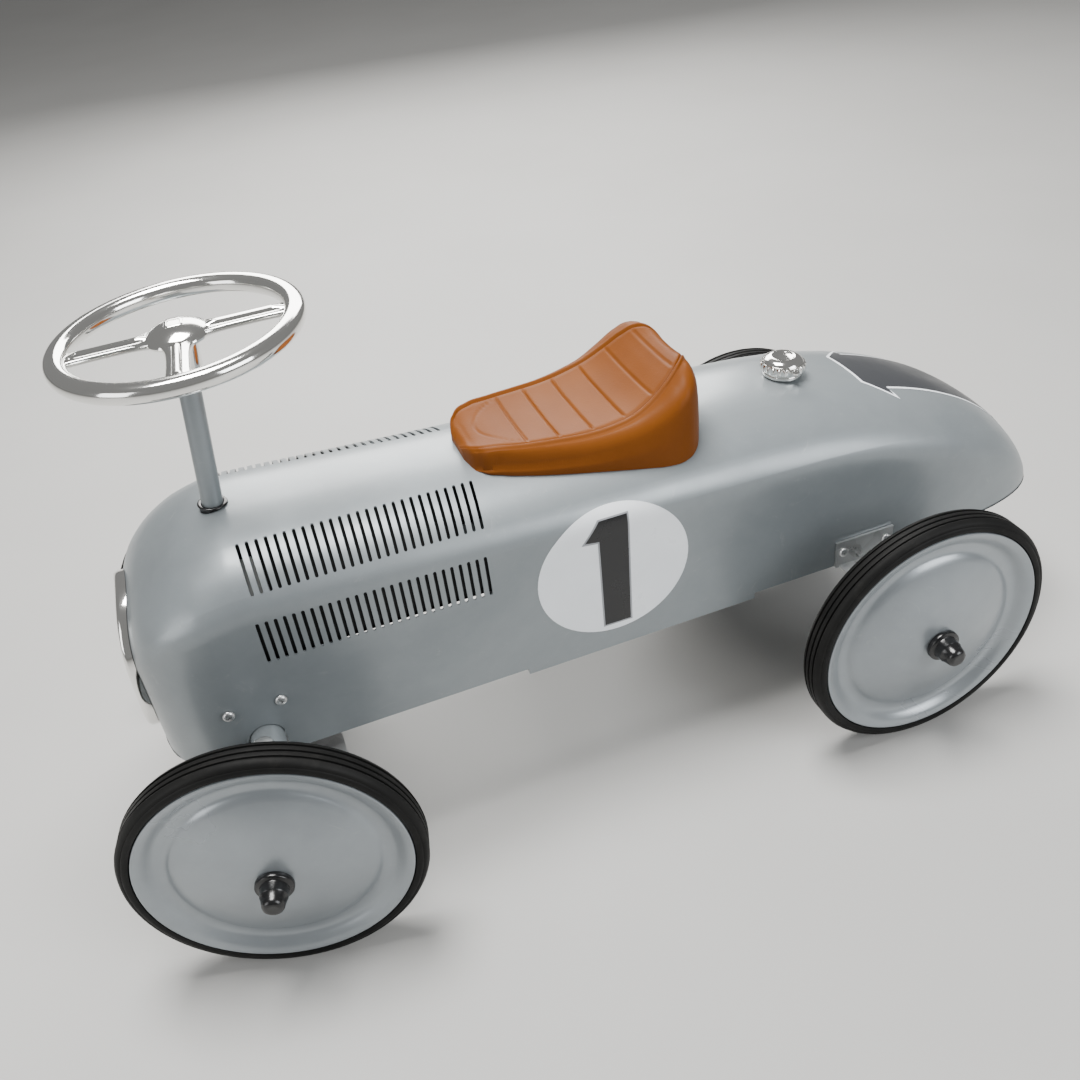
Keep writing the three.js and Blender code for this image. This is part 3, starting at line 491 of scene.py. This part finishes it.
def crown_mark(name, quads, off, mat, n=14, thick=0.1):
    """quads in (x, distance from the crown line along the skin), laid on both sides of the crown"""
    V, F = [], []
    for side in (1, -1):
        for q in quads:
            q = np.array(q, float); k = len(V); m = n + 1
            for i in range(m):
                for j in range(m):
                    u, v = i / n, j / n
                    p = (1 - u) * (1 - v) * q[0] + u * (1 - v) * q[1] + u * v * q[2] + (1 - u) * v * q[3]
                    S = at(p[0], s=0)[2]
                    P = point(p[0], S - max(p[1], 1e-4), side, off)
                    V.append((P[0], 0.0 if p[1] < 1e-3 else P[1], P[2]))
            for i in range(n):
                for j in range(n): a = k + i * m + j; F.append((a, a + m, a + m + 1, a + 1))
    o = to_obj(name + "_tmp", V, F, mat, None, 60, merge=0.03)
    so = o.modifiers.new("t", "SOLIDIFY"); so.thickness = thick * MM; so.offset = 0
    me = baked(o)
    o = finish_mesh(name, me, mat, "chassis", 60); return o
crown_mark("tail_mark_border", [[(-262.3, 0), (-262.3, 24.2), (-280, 33.1), (-280, 0)], [(-262.3, 24.2), (-283.0, 46.2), (-282.2, 40), (-280, 33.1)], [(-280, 0), (-280, 33.1), (-338, 31.5), (-338, 0)], [(-338, 0), (-338, 31.5), (-396.8, 27.6), (-396.8, 0)]], 0.16, M["white"])
crown_mark("tail_mark", [[(-264.6, 0), (-264.6, 23.2), (-280, 30.9), (-280, 0)], [(-264.6, 23.2), (-280.6, 41.0), (-280.4, 36), (-280, 30.9)], [(-280, 0), (-280, 30.9), (-338, 29.3), (-338, 0)], [(-338, 0), (-338, 29.3), (-394.6, 25.4), (-394.6, 0)]], 0.30, M["stripe"])

# ------------------------------------------------------------------ grille
def nose_x(y, z, d):
    lo, hi = 200.0, NOSE_X0 + NOSE_L + d
    def inside(x):
        w, zt, h = station(x, d)
        if z > zt or abs(y) > w: return False
        return z <= zt - h or (abs(y) / w) ** SH_N + (max(0, z - (zt - h)) / h) ** SH_N <= 1
    for _ in range(30):
        m = (lo + hi) / 2
        if inside(m): lo = m
        else: hi = m
    return lo
GR_Z, GR_W, GR_H = 187.0, 45.0, 57.5
def shield(k, a):
    c, s = math.cos(a), math.sin(a)
    return ((GR_W - k) * math.copysign(abs(c) ** 0.91, c), GR_Z + (GR_H - k) * math.copysign(abs(s) ** 0.91, s))
rings = []
for i in range(96):
    a = 2 * math.pi * i / 96
    prof = [(4.2, 0.35), (4.2, 3.4), (3.7, 4.7), (2.6, 5.4), (1.4, 5.3), (0.45, 4.7), (0.0, 3.6), (0.0, 0.35)]
    rings.append([(nose_x(*shield(k, a), dd if dd < 1 else dd * (1 + 0.35 * min(1.0, max(0.0, (205 - shield(k, a)[1]) / 45.0)))), *shield(k, a)) for k, dd in prof])
rings.append(rings[0])
v, f = loft(rings, caps=False)
o = to_obj("grille_surround_skin", v, f, M["chrome"], "chassis", 40, merge=0.01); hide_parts("grille_surround")
def inside_shield(y, z, k): return (abs(y) / (GR_W - k)) ** 2.2 + (abs(z - GR_Z) / (GR_H - k)) ** 2.2 <= 1
V, F = [], []
back = []
for i in range(1, 13):
    for k in range(72):
        a = 2 * math.pi * k / 72; e = i / 12
        y, z = shield(4.4, a); y *= e; z = GR_Z + (z - GR_Z) * e
        V.append((nose_x(y, z, 0.5), y, z))
V.append((nose_x(0, GR_Z, 0) + 0.5, 0, GR_Z)); c0 = len(V) - 1
for k in range(72): F.append((c0, k, (k + 1) % 72))
for i in range(11):
    for k in range(72): a = i * 72; F.append((a + k, a + 72 + k, a + 72 + (k + 1) % 72, a + (k + 1) % 72))
parts = [(V, F)]
def bar(p0, p1, off, r=0.62):
    p0, p1 = np.array(p0), np.array(p1); L = np.linalg.norm(p1 - p0); n = max(2, int(L / 4))
    pts = [p0 + (p1 - p0) * i / n for i in range(n + 1)]
    pts = [p for p in pts if inside_shield(p[0], p[1], 4.6)]
    if len(pts) < 2: return
    t = (p1 - p0) / L; nrm = np.array([-t[1], t[0]])
    rr = []
    for p in pts:
        x = nose_x(p[0], p[1], off)
        rr.append([(x + r * dx, p[0] + nrm[0] * r * dn, p[1] + nrm[1] * r * dn) for dx, dn in ((-1, 0), (0, 1), (1, 0), (0, -1))])
    parts.append(loft(rr))
for i in range(-12, 13):
    bar((-60, GR_Z + i * 9.0 - 60), (60, GR_Z + i * 9.0 + 60), 1.4)
    bar((-60, GR_Z + i * 9.0 + 60), (60, GR_Z + i * 9.0 - 60), 2.2)
v, f = merge_parts(*parts)
o = to_obj("grille_lattice", v, f, M["black"], "chassis", 40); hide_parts("grille_mesh")

# ------------------------------------------------------------------ seat: moulded pad with a piped rim and cross channels
SEAT = np.array([
    [50, 12, 9, 276.5], [47.8, 23, 17.5, 280.6], [42, 33, 27.5, 284.0], [30, 40, 34.5, 285.6], [14, 45.5, 38.5, 284.4], [-8, 51, 42, 283.2], [-30, 55.5, 45, 282.6],
    [-48, 58.8, 47, 284.2], [-66, 61.8, 47.5, 288.4], [-82, 64, 45.5, 296.5], [-95, 63.5, 41.5, 305.2], [-104, 59.5, 36.5, 310.6], [-110.5, 52.5, 30, 311.6], [-115.5, 43, 22.5, 308.0], [-118.8, 32, 15, 301.5],])
def pch(X, Y, x):
    """monotone-ish cubic through the table"""
    m = np.gradient(Y, X); i = int(np.clip(np.searchsorted(X, x) - 1, 0, len(X) - 2)); h = X[i + 1] - X[i]; t = (x - X[i]) / h
    return (2*t**3 - 3*t*t + 1) * Y[i] + (t**3 - 2*t*t + t) * h * m[i] + (-2*t**3 + 3*t*t) * Y[i + 1] + (t**3 - t*t) * h * m[i + 1]
SX = SEAT[::-1, 0]
def skin_top(y, x):
    w, zt, h = station(x); q = min(1, abs(y) / w)
    return zt - h + h * max(0, 1 - q ** SH_N) ** (1 / SH_N)
def seat():
    xs = list(np.linspace(-118.5, -100, 22)) + list(np.linspace(-99, 38, 190)) + list(np.linspace(38.5, 49.8, 20))
    grooves = [-101.5, -82, -60.5, -37.5, -14, 8]
    rings = []
    for x in xs:
        wb, wt, zt = (pch(SX, SEAT[::-1, k], x) for k in (1, 2, 3))
        ring_ = []
        us = list(np.linspace(0, 1, 27))
        # half outline from base to the middle of the top
        half = []
        zb = skin_top(wb, x) + 0.45
        for q in (0, 0.25, 0.5, 0.75): half.append((wb * (1 + 0.0) + 0.6 * math.sin(q * math.pi), zb + (zt - 15 - zb) * q))
        for q in (0.0, 0.2, 0.4, 0.6, 0.78, 0.9): half.append((wb - 0.9 - (wb - wt - 3) * (1 - math.cos(q * math.pi / 2)) * 0.95, zt - 15 + 13.4 * math.sin(q * math.pi / 2)))
        bead = [(wt + 2.7, zt - 1.9), (wt + 2.1, zt - 1.75), (wt + 1.4, zt - 0.6), (wt + 0.4, zt + 0.1), (wt - 0.7, zt + 0.1), (wt - 1.6, zt - 0.5), (wt - 2.1, zt - 1.7), (wt - 2.9, zt - 2.0), (wt - 3.9, zt - 1.2)]
        half += bead
        wi = wt - 4.9
        for q in np.linspace(1, 0, 15):
            y = wi * q
            z = zt - 0.9 - 1.5 * (1 - q ** 2.4)
            g = sum(math.exp(-((x - gx) / 0.85) ** 2) for gx in grooves)
            fr = 0.6 * math.exp(-(((x - (34.5 - (y / 27.0) ** 2 * 16)) / 1.1) ** 2))
            z -= 1.15 * min(1, g + fr) * min(1.0, 0.25 + (1 - q) * 14)
            half.append((y, z))
        half = [(max(0.0, y), z) for y, z in half]
        left = [(x, y, z) for y, z in half]; right = [(x, -y, z) for y, z in half[:-1]][::-1]
        # close underneath along the body skin
        m = len(half[0])
        under = [(x, -wb * (1 - 2 * q), max(skin_top(wb * (1 - 2 * q), x) + 0.45, 200)) for q in np.linspace(0.06, 0.94, 14)]
        rings.append(left + right + under)
    v, f = loft(rings)
    o = to_obj("seat_pad_tmp", v, f, M["vinyl"], None, 0)
    bm = bmesh.new(); bm.from_mesh(o.data)
    # round the front and rear closing edges a little
    def soft(x):
        t = max((x - 40.0) / 9.0, (-111.0 - x) / 7.0); t = min(1.0, max(0.0, t)); return t * t * (3 - 2 * t) * 0.6
    for _ in range(5):
        new = {}
        for w in bm.verts:
            k = soft(w.co.x / MM - SHIFT_X)
            if k > 0:
                avg = sum((e.other_vert(w).co for e in w.link_edges), Vector()) / len(w.link_edges)
                new[w] = w.co.lerp(avg, k)
        for w, co in new.items(): w.co = co
    bm.to_mesh(o.data); bm.free()
    me = o.data.copy(); bpy.data.objects.remove(o)
    o = finish_mesh("seat_pad", me, M["vinyl"], "chassis", 50)
    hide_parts("seat")
seat()

# ------------------------------------------------------------------ wheels
def dish():
    P = [(8.5, 9.2), (11.6, 9.2), (12.2, 8.9)]
    for r in np.linspace(14, 65.5, 16): P.append((r, 8.7 - 13.3 * ((r - 12) / 54.5) ** 1.75))
    P += [(67.2, -5.55), (68.6, -6.7), (70.2, -7.3), (73.2, -7.5), (76.0, -7.2), (78.0, -6.3), (80.2, -4.4), (82.6, -2.4), (84.6, -1.2), (86.8, -0.35), (88.2, 0.1), (89.0, -0.2), (89.35, -0.9), (89.2, -2.0), (86.6, -3.4), (84.9, -4.4), (84.2, -5.4), (84.2, -16.6),
          (85.2, -17.8), (89.2, -19.6), (89.3, -20.4), (88.9, -21.0), (87.6, -21.0), (83.4, -18.8), (82.7, -17.6), (82.7, -9.6), (81.2, -8.4), (76, -8.8), (70, -8.7), (66, -6.6)]
    for r in np.linspace(62, 13.5, 12): P.append((r, 7.4 - 13.3 * ((r - 12) / 54.5) ** 1.75))
    P += [(10.2, 6.6), (10.2, -22), (8.5, -22)]
    return P
def tread():
    P = [(84.6, -5.6), (84.6, -16.4), (86.4, -17.8), (89.8, -19.4), (89.9, -20.9), (91.6, -21.6), (93.2, -21.7), (94.6, -21.1), (95.2, -20.9), (96.6, -20.4), (97.8, -19.3), (98.4, -18.0)]
    for g in (-15.6, -10.9, -6.2):
        P += [(98.85, g - 1.5), (98.8, g - 0.9), (97.5, g - 0.65), (97.5, g + 0.65), (98.8, g + 0.9), (98.9, g + 1.5)]
    P += [(98.4, -3.8), (97.8, -2.5), (96.6, -1.3), (95.3, -0.75), (94.8, -0.85), (94.4, -0.35), (93.2, 0.1), (91.6, 0.2), (90.2, -0.1), (89.8, -0.7), (89.7, -2.3), (86.6, -3.9)]
    return P
HUB = [(0, 29.5), (3.4, 29.45), (4.2, 29.5), (5.4, 29.1), (6.6, 28.2), (7.3, 26.8), (7.6, 25.2), (8.6, 20.6), (9.0, 20.1), (9.0, 19.3), (9.5, 14.9), (9.7, 14.2), (10.4, 13.7), (12.2, 13.4), (12.6, 12.9), (12.7, 10.1), (12.4, 9.6), (4.95, 9.6), (4.95, 24), (0, 24)]
def place_wheel(name, s):
    if name.startswith("front"):
        return trans(231, s * 111.3, 0) @ rotm("Z", -12.6) @ trans(6, s * 45.5, 99) @ rotm("X", -90 * s)
    return trans(-247.6, s * 156.7, 99) @ rotm("X", -90 * s)
dv, tv, hv = revolve(dish(), 96), revolve(tread(), 112), revolve(HUB, 48)
bush = revolve(soften([(4.8, -22), (8.2, -22), (8.2, 9.2), (4.8, 9.2)], 0.3), 32)
for name, s in (("front_left", 1), ("front_right", -1), ("rear_left", 1), ("rear_right", -1)):
    m = place_wheel(name, s); wb = "wheel_" + name
    hb = {"front_left": "spindle_left_body", "front_right": "spindle_right_body"}.get(name, "chassis")
    for part, mat, body, node, slot in ((dv, "wheel", wb, "wheel_disc_", "grey_paint"), (tv, "rubber", wb, "tyre_", "tyre_rubber"), (hv, "black", hb, "hub_cap_", "black_plastic"), (bush, "black", wb, "wheel_bush_", "black_plastic")):
        o = to_obj(node + name + "_skin", part[0], part[1], M[mat], body, 38, matrix=m)
        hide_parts(node + name)

# ------------------------------------------------------------------ steering wheel, column
COL = trans(217.4, 0, 281.8) @ rotm("Y", -6.5)
WM = trans(217.4 - (401.6 - 281.8) * math.tan(math.radians(6.5)) + 0.8, 0, 401.6) @ rotm("Y", 1.5) @ rotm("Z", -4.5)
def steering_wheel():
    R = 71.2; P = []
    def se(a, A, B, n=2.3):
        c, s_ = math.cos(a), math.sin(a); return (R + A * math.copysign(abs(c) ** (2 / n), c), B * math.copysign(abs(s_) ** (2 / n), s_))
    for i in range(27): P.append(se(math.radians(-52 + 284 * i / 26), 6.5, 6.0))
    for i in range(21): P.append(se(math.radians(222 - 264 * i / 20), 5.1, 4.6))
    parts = [revolve(P, 128)]
    for a in (0, 180, 90):
        rings = []
        for r in np.linspace(6, R - 5.6, 30):
            w = 6.7 + 5.8 * math.exp(-((r - 6) / 12.5) ** 2) + 0.8 * max(0, (r - 45) / 20) ** 2
            t = min(1.0, max(0.0, (r - 14) / 8)); e = min(1.0, max(0.0, (R - 6 - r) / 6)); rib = 1.9 * t * (0.35 + 0.65 * e)
            top = 1.0 + 1.6 * math.exp(-((r - 6) / 10) ** 2)
            ring_ = [(-w, -2.3), (-w, top - 1.0), (-w + 0.5, top - 0.3), (-w + 1.3, top), (-3.0, top), (-2.3, top + rib * 0.55), (-1.4, top + rib), (0, top + rib * 1.06), (1.4, top + rib), (2.3, top + rib * 0.55), (3.0, top), (w - 1.3, top), (w - 0.5, top - 0.3), (w, top - 1.0), (w, -2.3), (w - 1.0, -2.3), (w - 1.2, top - 1.6), (0, top - 1.5), (-w + 1.2, top - 1.6), (-w + 1.0, -2.3)]
            rings.append([(r, y, z) for y, z in ring_])
        parts.append(xf(loft(rings), rotm("Z", a)))
    dome = [(0, -3.2), (17.0, -3.2), (19.3, -2.4), (20.0, -0.8), (19.2, 0.9), (17.2, 2.6), (14.4, 4.3), (11.0, 5.7), (7.0, 6.6), (3.5, 6.95), (0, 7.0)]
    parts.append(revolve(dome, 64))
    sq = lambda r, z: [(r * math.copysign(abs(math.cos(a)) ** 0.45, math.cos(a)), r * math.copysign(abs(math.sin(a)) ** 0.45, math.sin(a)), z) for a in np.linspace(0, 2 * math.pi, 41)[:-1]]
    parts.append(loft([sq(5.8, 4.5), sq(5.8, 6.8), sq(5.4, 7.25), sq(4.6, 7.4), sq(3.9, 7.35), sq(3.7, 7.0)]))
    v, f = merge_parts(*[xf(p, WM) for p in parts], xf(revolve(soften([(7.4, 98), (10.5, 98), (10.5, 118), (7.4, 118)], 0.6), 48), COL))
    o = to_obj("steering_wheel_skin", v, f, M["chrome"], "steering", 38)
    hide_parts("steering_wheel")
steering_wheel()
def turned(name, profile, m, mat, body, node, seg=48, soft=0.35):
    v, f = revolve(soften(profile, soft), seg)
    o = to_obj(name, v, f, M[mat], body, 38, matrix=m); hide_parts(node)
turned("column_tube", [(5.5, -163), (7, -163), (7, 112), (5.5, 112)], COL, "paint", "steering", "steering_column")
turned("column_grommet", [(7.3, -5), (8.5, -5), (8.5, 0.9), (9.9, 0.9), (9.7, 1.7), (8.9, 2.0), (7.3, 1.9)], COL, "black", "chassis", "column_bush")
turned("column_collar_ring", [(7.4, -124.3), (10.5, -124.3), (10.5, -118), (7.4, -118)], COL, "zinc", "steering", "column_collar")

# ------------------------------------------------------------------ fuel cap
CAPM = trans(-208, 0, crown(-208) - 1.6) @ rotm("Y", -3.8)
def knurled(r0, r1, z0, z1, n=36):
    rings = []
    for z, k in ((z0, 0.0), (z0 + 0.5, 1.0), (z1 - 0.7, 1.0), (z1, 0.2)):
        rings.append([((r0 + (r1 - r0) * k * (0.5 + 0.5 * math.cos(n * a))) * math.cos(a), (r0 + (r1 - r0) * k * (0.5 + 0.5 * math.cos(n * a))) * math.sin(a), z) for a in np.linspace(0, 2 * math.pi, n * 6 + 1)[:-1]])
    return loft(rings)
lid = revolve([(0, 15.7), (6.6, 15.75), (7.3, 16.0), (8.0, 16.55), (8.9, 16.7), (10.6, 16.3), (12.6, 15.5), (14.2, 14.2), (15.0, 12.9), (14.6, 12.1), (0, 12.1)], 72)
ears = []
for s in (1, -1):
    ears.append(loft([[(x * k, s * (15.0 + 5.2 * q), 9.4 + zz * k) for x, zz in ((-3.2, -1.7), (3.2, -1.7), (3.6, 0), (3.2, 1.7), (-3.2, 1.7), (-3.6, 0))] for q, k in ((0, 1.0), (0.5, 0.95), (0.85, 0.8), (1.0, 0.45))]))
v, f = merge_parts(knurled(16.0, 17.2, 6.7, 12.3, 22), lid, *ears)
o = to_obj("fuel_cap_skin", v, f, M["chrome"], "chassis", 38, matrix=CAPM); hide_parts("fuel_cap")
turned("filler_neck_skin", [(5, -12), (7.2, -12), (7.2, 2.0), (14.6, 2.0), (14.6, 4.4), (12.6, 5.6), (11.5, 6.2), (11.5, 12.0), (9.5, 12.0), (9.5, 3.5), (5, 3.5)], CAPM, "chrome", "chassis", "filler_neck", 64, 0.5)

# ------------------------------------------------------------------ screws with a cross recess
def screw_mesh():
    head = revolve([(0, -8), (2.2, -8), (2.2, 0.05), (4.0, 0.05), (4.1, 0.3), (3.95, 0.9), (3.4, 1.6), (2.5, 2.1), (1.3, 2.38), (0, 2.42)], 32)
    o = to_obj("screw_tmp", head[0], head[1], M["zinc"], None, 38)
    arms = [loft([[(x, y, z) for x, y in ((-w, -0.42), (w, -0.42), (w, 0.42), (-w, 0.42))] for z, w in ((0.9, 0.8), (3.0, 2.3))]) for _ in range(2)]
    arms[1] = xf(arms[1], rotm("Z", 90))
    c = [to_obj("arm_tmp", a[0], a[1], M["dark"], None, 0) for a in arms]
    for q in c:
        b = o.modifiers.new("c", "BOOLEAN"); b.operation = "DIFFERENCE"; b.object = q; b.solver = "EXACT"
    me = baked(o)
    for q in c: bpy.data.objects.remove(q)
    v = np.array([tuple(w.co) for w in me.vertices]) / MM - np.array([SHIFT_X, 0, 0])
    return v, [tuple(p.vertices) for p in me.polygons]
SV, SF = screw_mesh()
turnz = {0: 12, 1: 40, 2: 75, 3: 25}
k = 0
for tag, s in (("left", 1), ("right", -1)):
    for i, (x, z) in enumerate(((247.4, 172.5), (212.7, 172.5))):
        y = station(x)[0] + (0.9 if x > PLAN_X0 else 0.5)
        o = to_obj(f"screw_front_{tag}_{i + 1}", SV, SF, M["zinc"], "chassis", 38, matrix=trans(x, s * y, z) @ rotm("X", -90 * s) @ rotm("Z", turnz[k % 4])); k += 1
        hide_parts(f"front_screw_{tag}_{i + 1}")
    for i, (x, z) in enumerate(((-215.8, 139.5), (-253.3, 139.5))):
        o = to_obj(f"screw_rear_{tag}_{i + 1}", SV, SF, M["zinc"], "chassis", 38, matrix=trans(x, s * (BODY_W + 2.6), z) @ rotm("X", -90 * s) @ rotm("Z", turnz[k % 4])); k += 1
        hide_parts(f"rear_screw_{tag}_{i + 1}")

# ------------------------------------------------------------------ round parts under the car
turned("rear_axle_rod", [(0, -180.3), (4.5, -180.3), (4.5, 180.3), (0, 180.3)], trans(-247.6, 0, 99) @ rotm("X", 90), "zinc", "chassis", "rear_axle", 32)
for tag, s in (("left", 1), ("right", -1)):
    turned("rear_spacer_tube_" + tag, [(4.8, 103.4), (8, 103.4), (8, 134.1), (4.8, 134.1)], trans(-247.6, 0, 99) @ rotm("X", -90 * s), "black", "chassis", "rear_spacer_" + tag, 32)
    m = trans(231, s * 111.3, 0) @ rotm("Z", -12.6)
    turned("kingpin_cap_skin_" + tag, [(5.3, 155.2), (8.6, 155.2), (8.6, 158), (6.8, 168.0), (4.5, 168.8), (0, 169), (0, 166.4), (5.3, 166.4)], m, "zinc", f"spindle_{tag}_body", "kingpin_cap_" + tag, 40)
    turned("tie_rod_bolt_skin_" + tag, [(0, 109.6), (5.0, 109.6), (5.6, 110.4), (5.6, 113.2), (3, 113.2), (3, 120.1), (5.6, 120.1), (5.6, 124.2), (0, 124.2)], m @ trans(-39, 0, 0), "zinc", f"spindle_{tag}_body", "tie_rod_bolt_" + tag, 32)

# ------------------------------------------------------------------ CAD nodes that stay: painted shade on the slot backings, real finishes and broken edges on the rest
# the slot backing sheets take the near-black material as painted shade, so the slots read dark
for n in ("slot_backing_left", "slot_backing_right"):
    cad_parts[n].data.materials.clear(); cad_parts[n].data.materials.append(M["dark"])
for n in ("axle_bracket_left", "axle_bracket_right", "rear_bracket_left", "rear_bracket_right", "tie_rod", "crank_arm", "spindle_left", "spindle_right", "seat_bolt_front", "seat_bolt_rear", "filler_nut"):
    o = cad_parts[n]
    o.data.materials.clear(); o.data.materials.append(M["zinc"])
    b = o.modifiers.new("edges", "BEVEL"); b.width = 0.35 * MM; b.segments = 2; b.limit_method = "ANGLE"; b.angle_limit = math.radians(45)
for n in ("belly_pan", "front_axle_tube"):
    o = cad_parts[n]
    o.data.materials.clear(); o.data.materials.append(M["paint"])
    b = o.modifiers.new("edges", "BEVEL"); b.width = 0.4 * MM; b.segments = 2; b.limit_method = "ANGLE"; b.angle_limit = math.radians(45)

# front axle tube, smooth, with its kingpin and column holes
def axle_tube():
    v, f = revolve(soften([(9.5, -121), (11.5, -121), (11.5, 121), (9.5, 121)], 0.5), 64)
    o = to_obj("tube_tmp", v, f, M["paint"], None, 38, matrix=trans(229, 0, 143) @ rotm("X", 90))
    c = []
    for q in (xf(revolve([(0, -190), (7.4, -190), (7.4, -100), (0, -100)], 32), COL), xf(revolve([(0, 120), (5.4, 120), (5.4, 170), (0, 170)], 32), trans(231, 111.3, 0)), xf(revolve([(0, 120), (5.4, 120), (5.4, 170), (0, 170)], 32), trans(231, -111.3, 0))):
        w = to_obj("cut_tmp", q[0], q[1], M["dark"], None, 0); c.append(w)
        b = o.modifiers.new("c", "BOOLEAN"); b.operation = "DIFFERENCE"; b.object = w; b.solver = "EXACT"
    me = baked(o)
    for w in c: bpy.data.objects.remove(w)
    o = finish_mesh("front_axle_tube_skin", me, M["paint"], "chassis", 38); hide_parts("front_axle_tube")
axle_tube()

# ------------------------------------------------------------------ floor
me = bpy.data.meshes.new("floor"); S = 6.0
me.from_pydata([(-S, -S, 0), (S, -S, 0), (S, S, 0), (-S, S, 0)], [], [(0, 1, 2, 3)])
fl = bpy.data.objects.new("floor", me); SCN.collection.objects.link(fl)
n = Nodes("floor_pale"); d = n.noise(3, 3)
n.setv(Base_Color=n.ramp(d, [(0.3, (0.42, 0.417, 0.405)), (0.7, (0.445, 0.442, 0.43))]), Roughness=0.6)
me.materials.append(n.m)
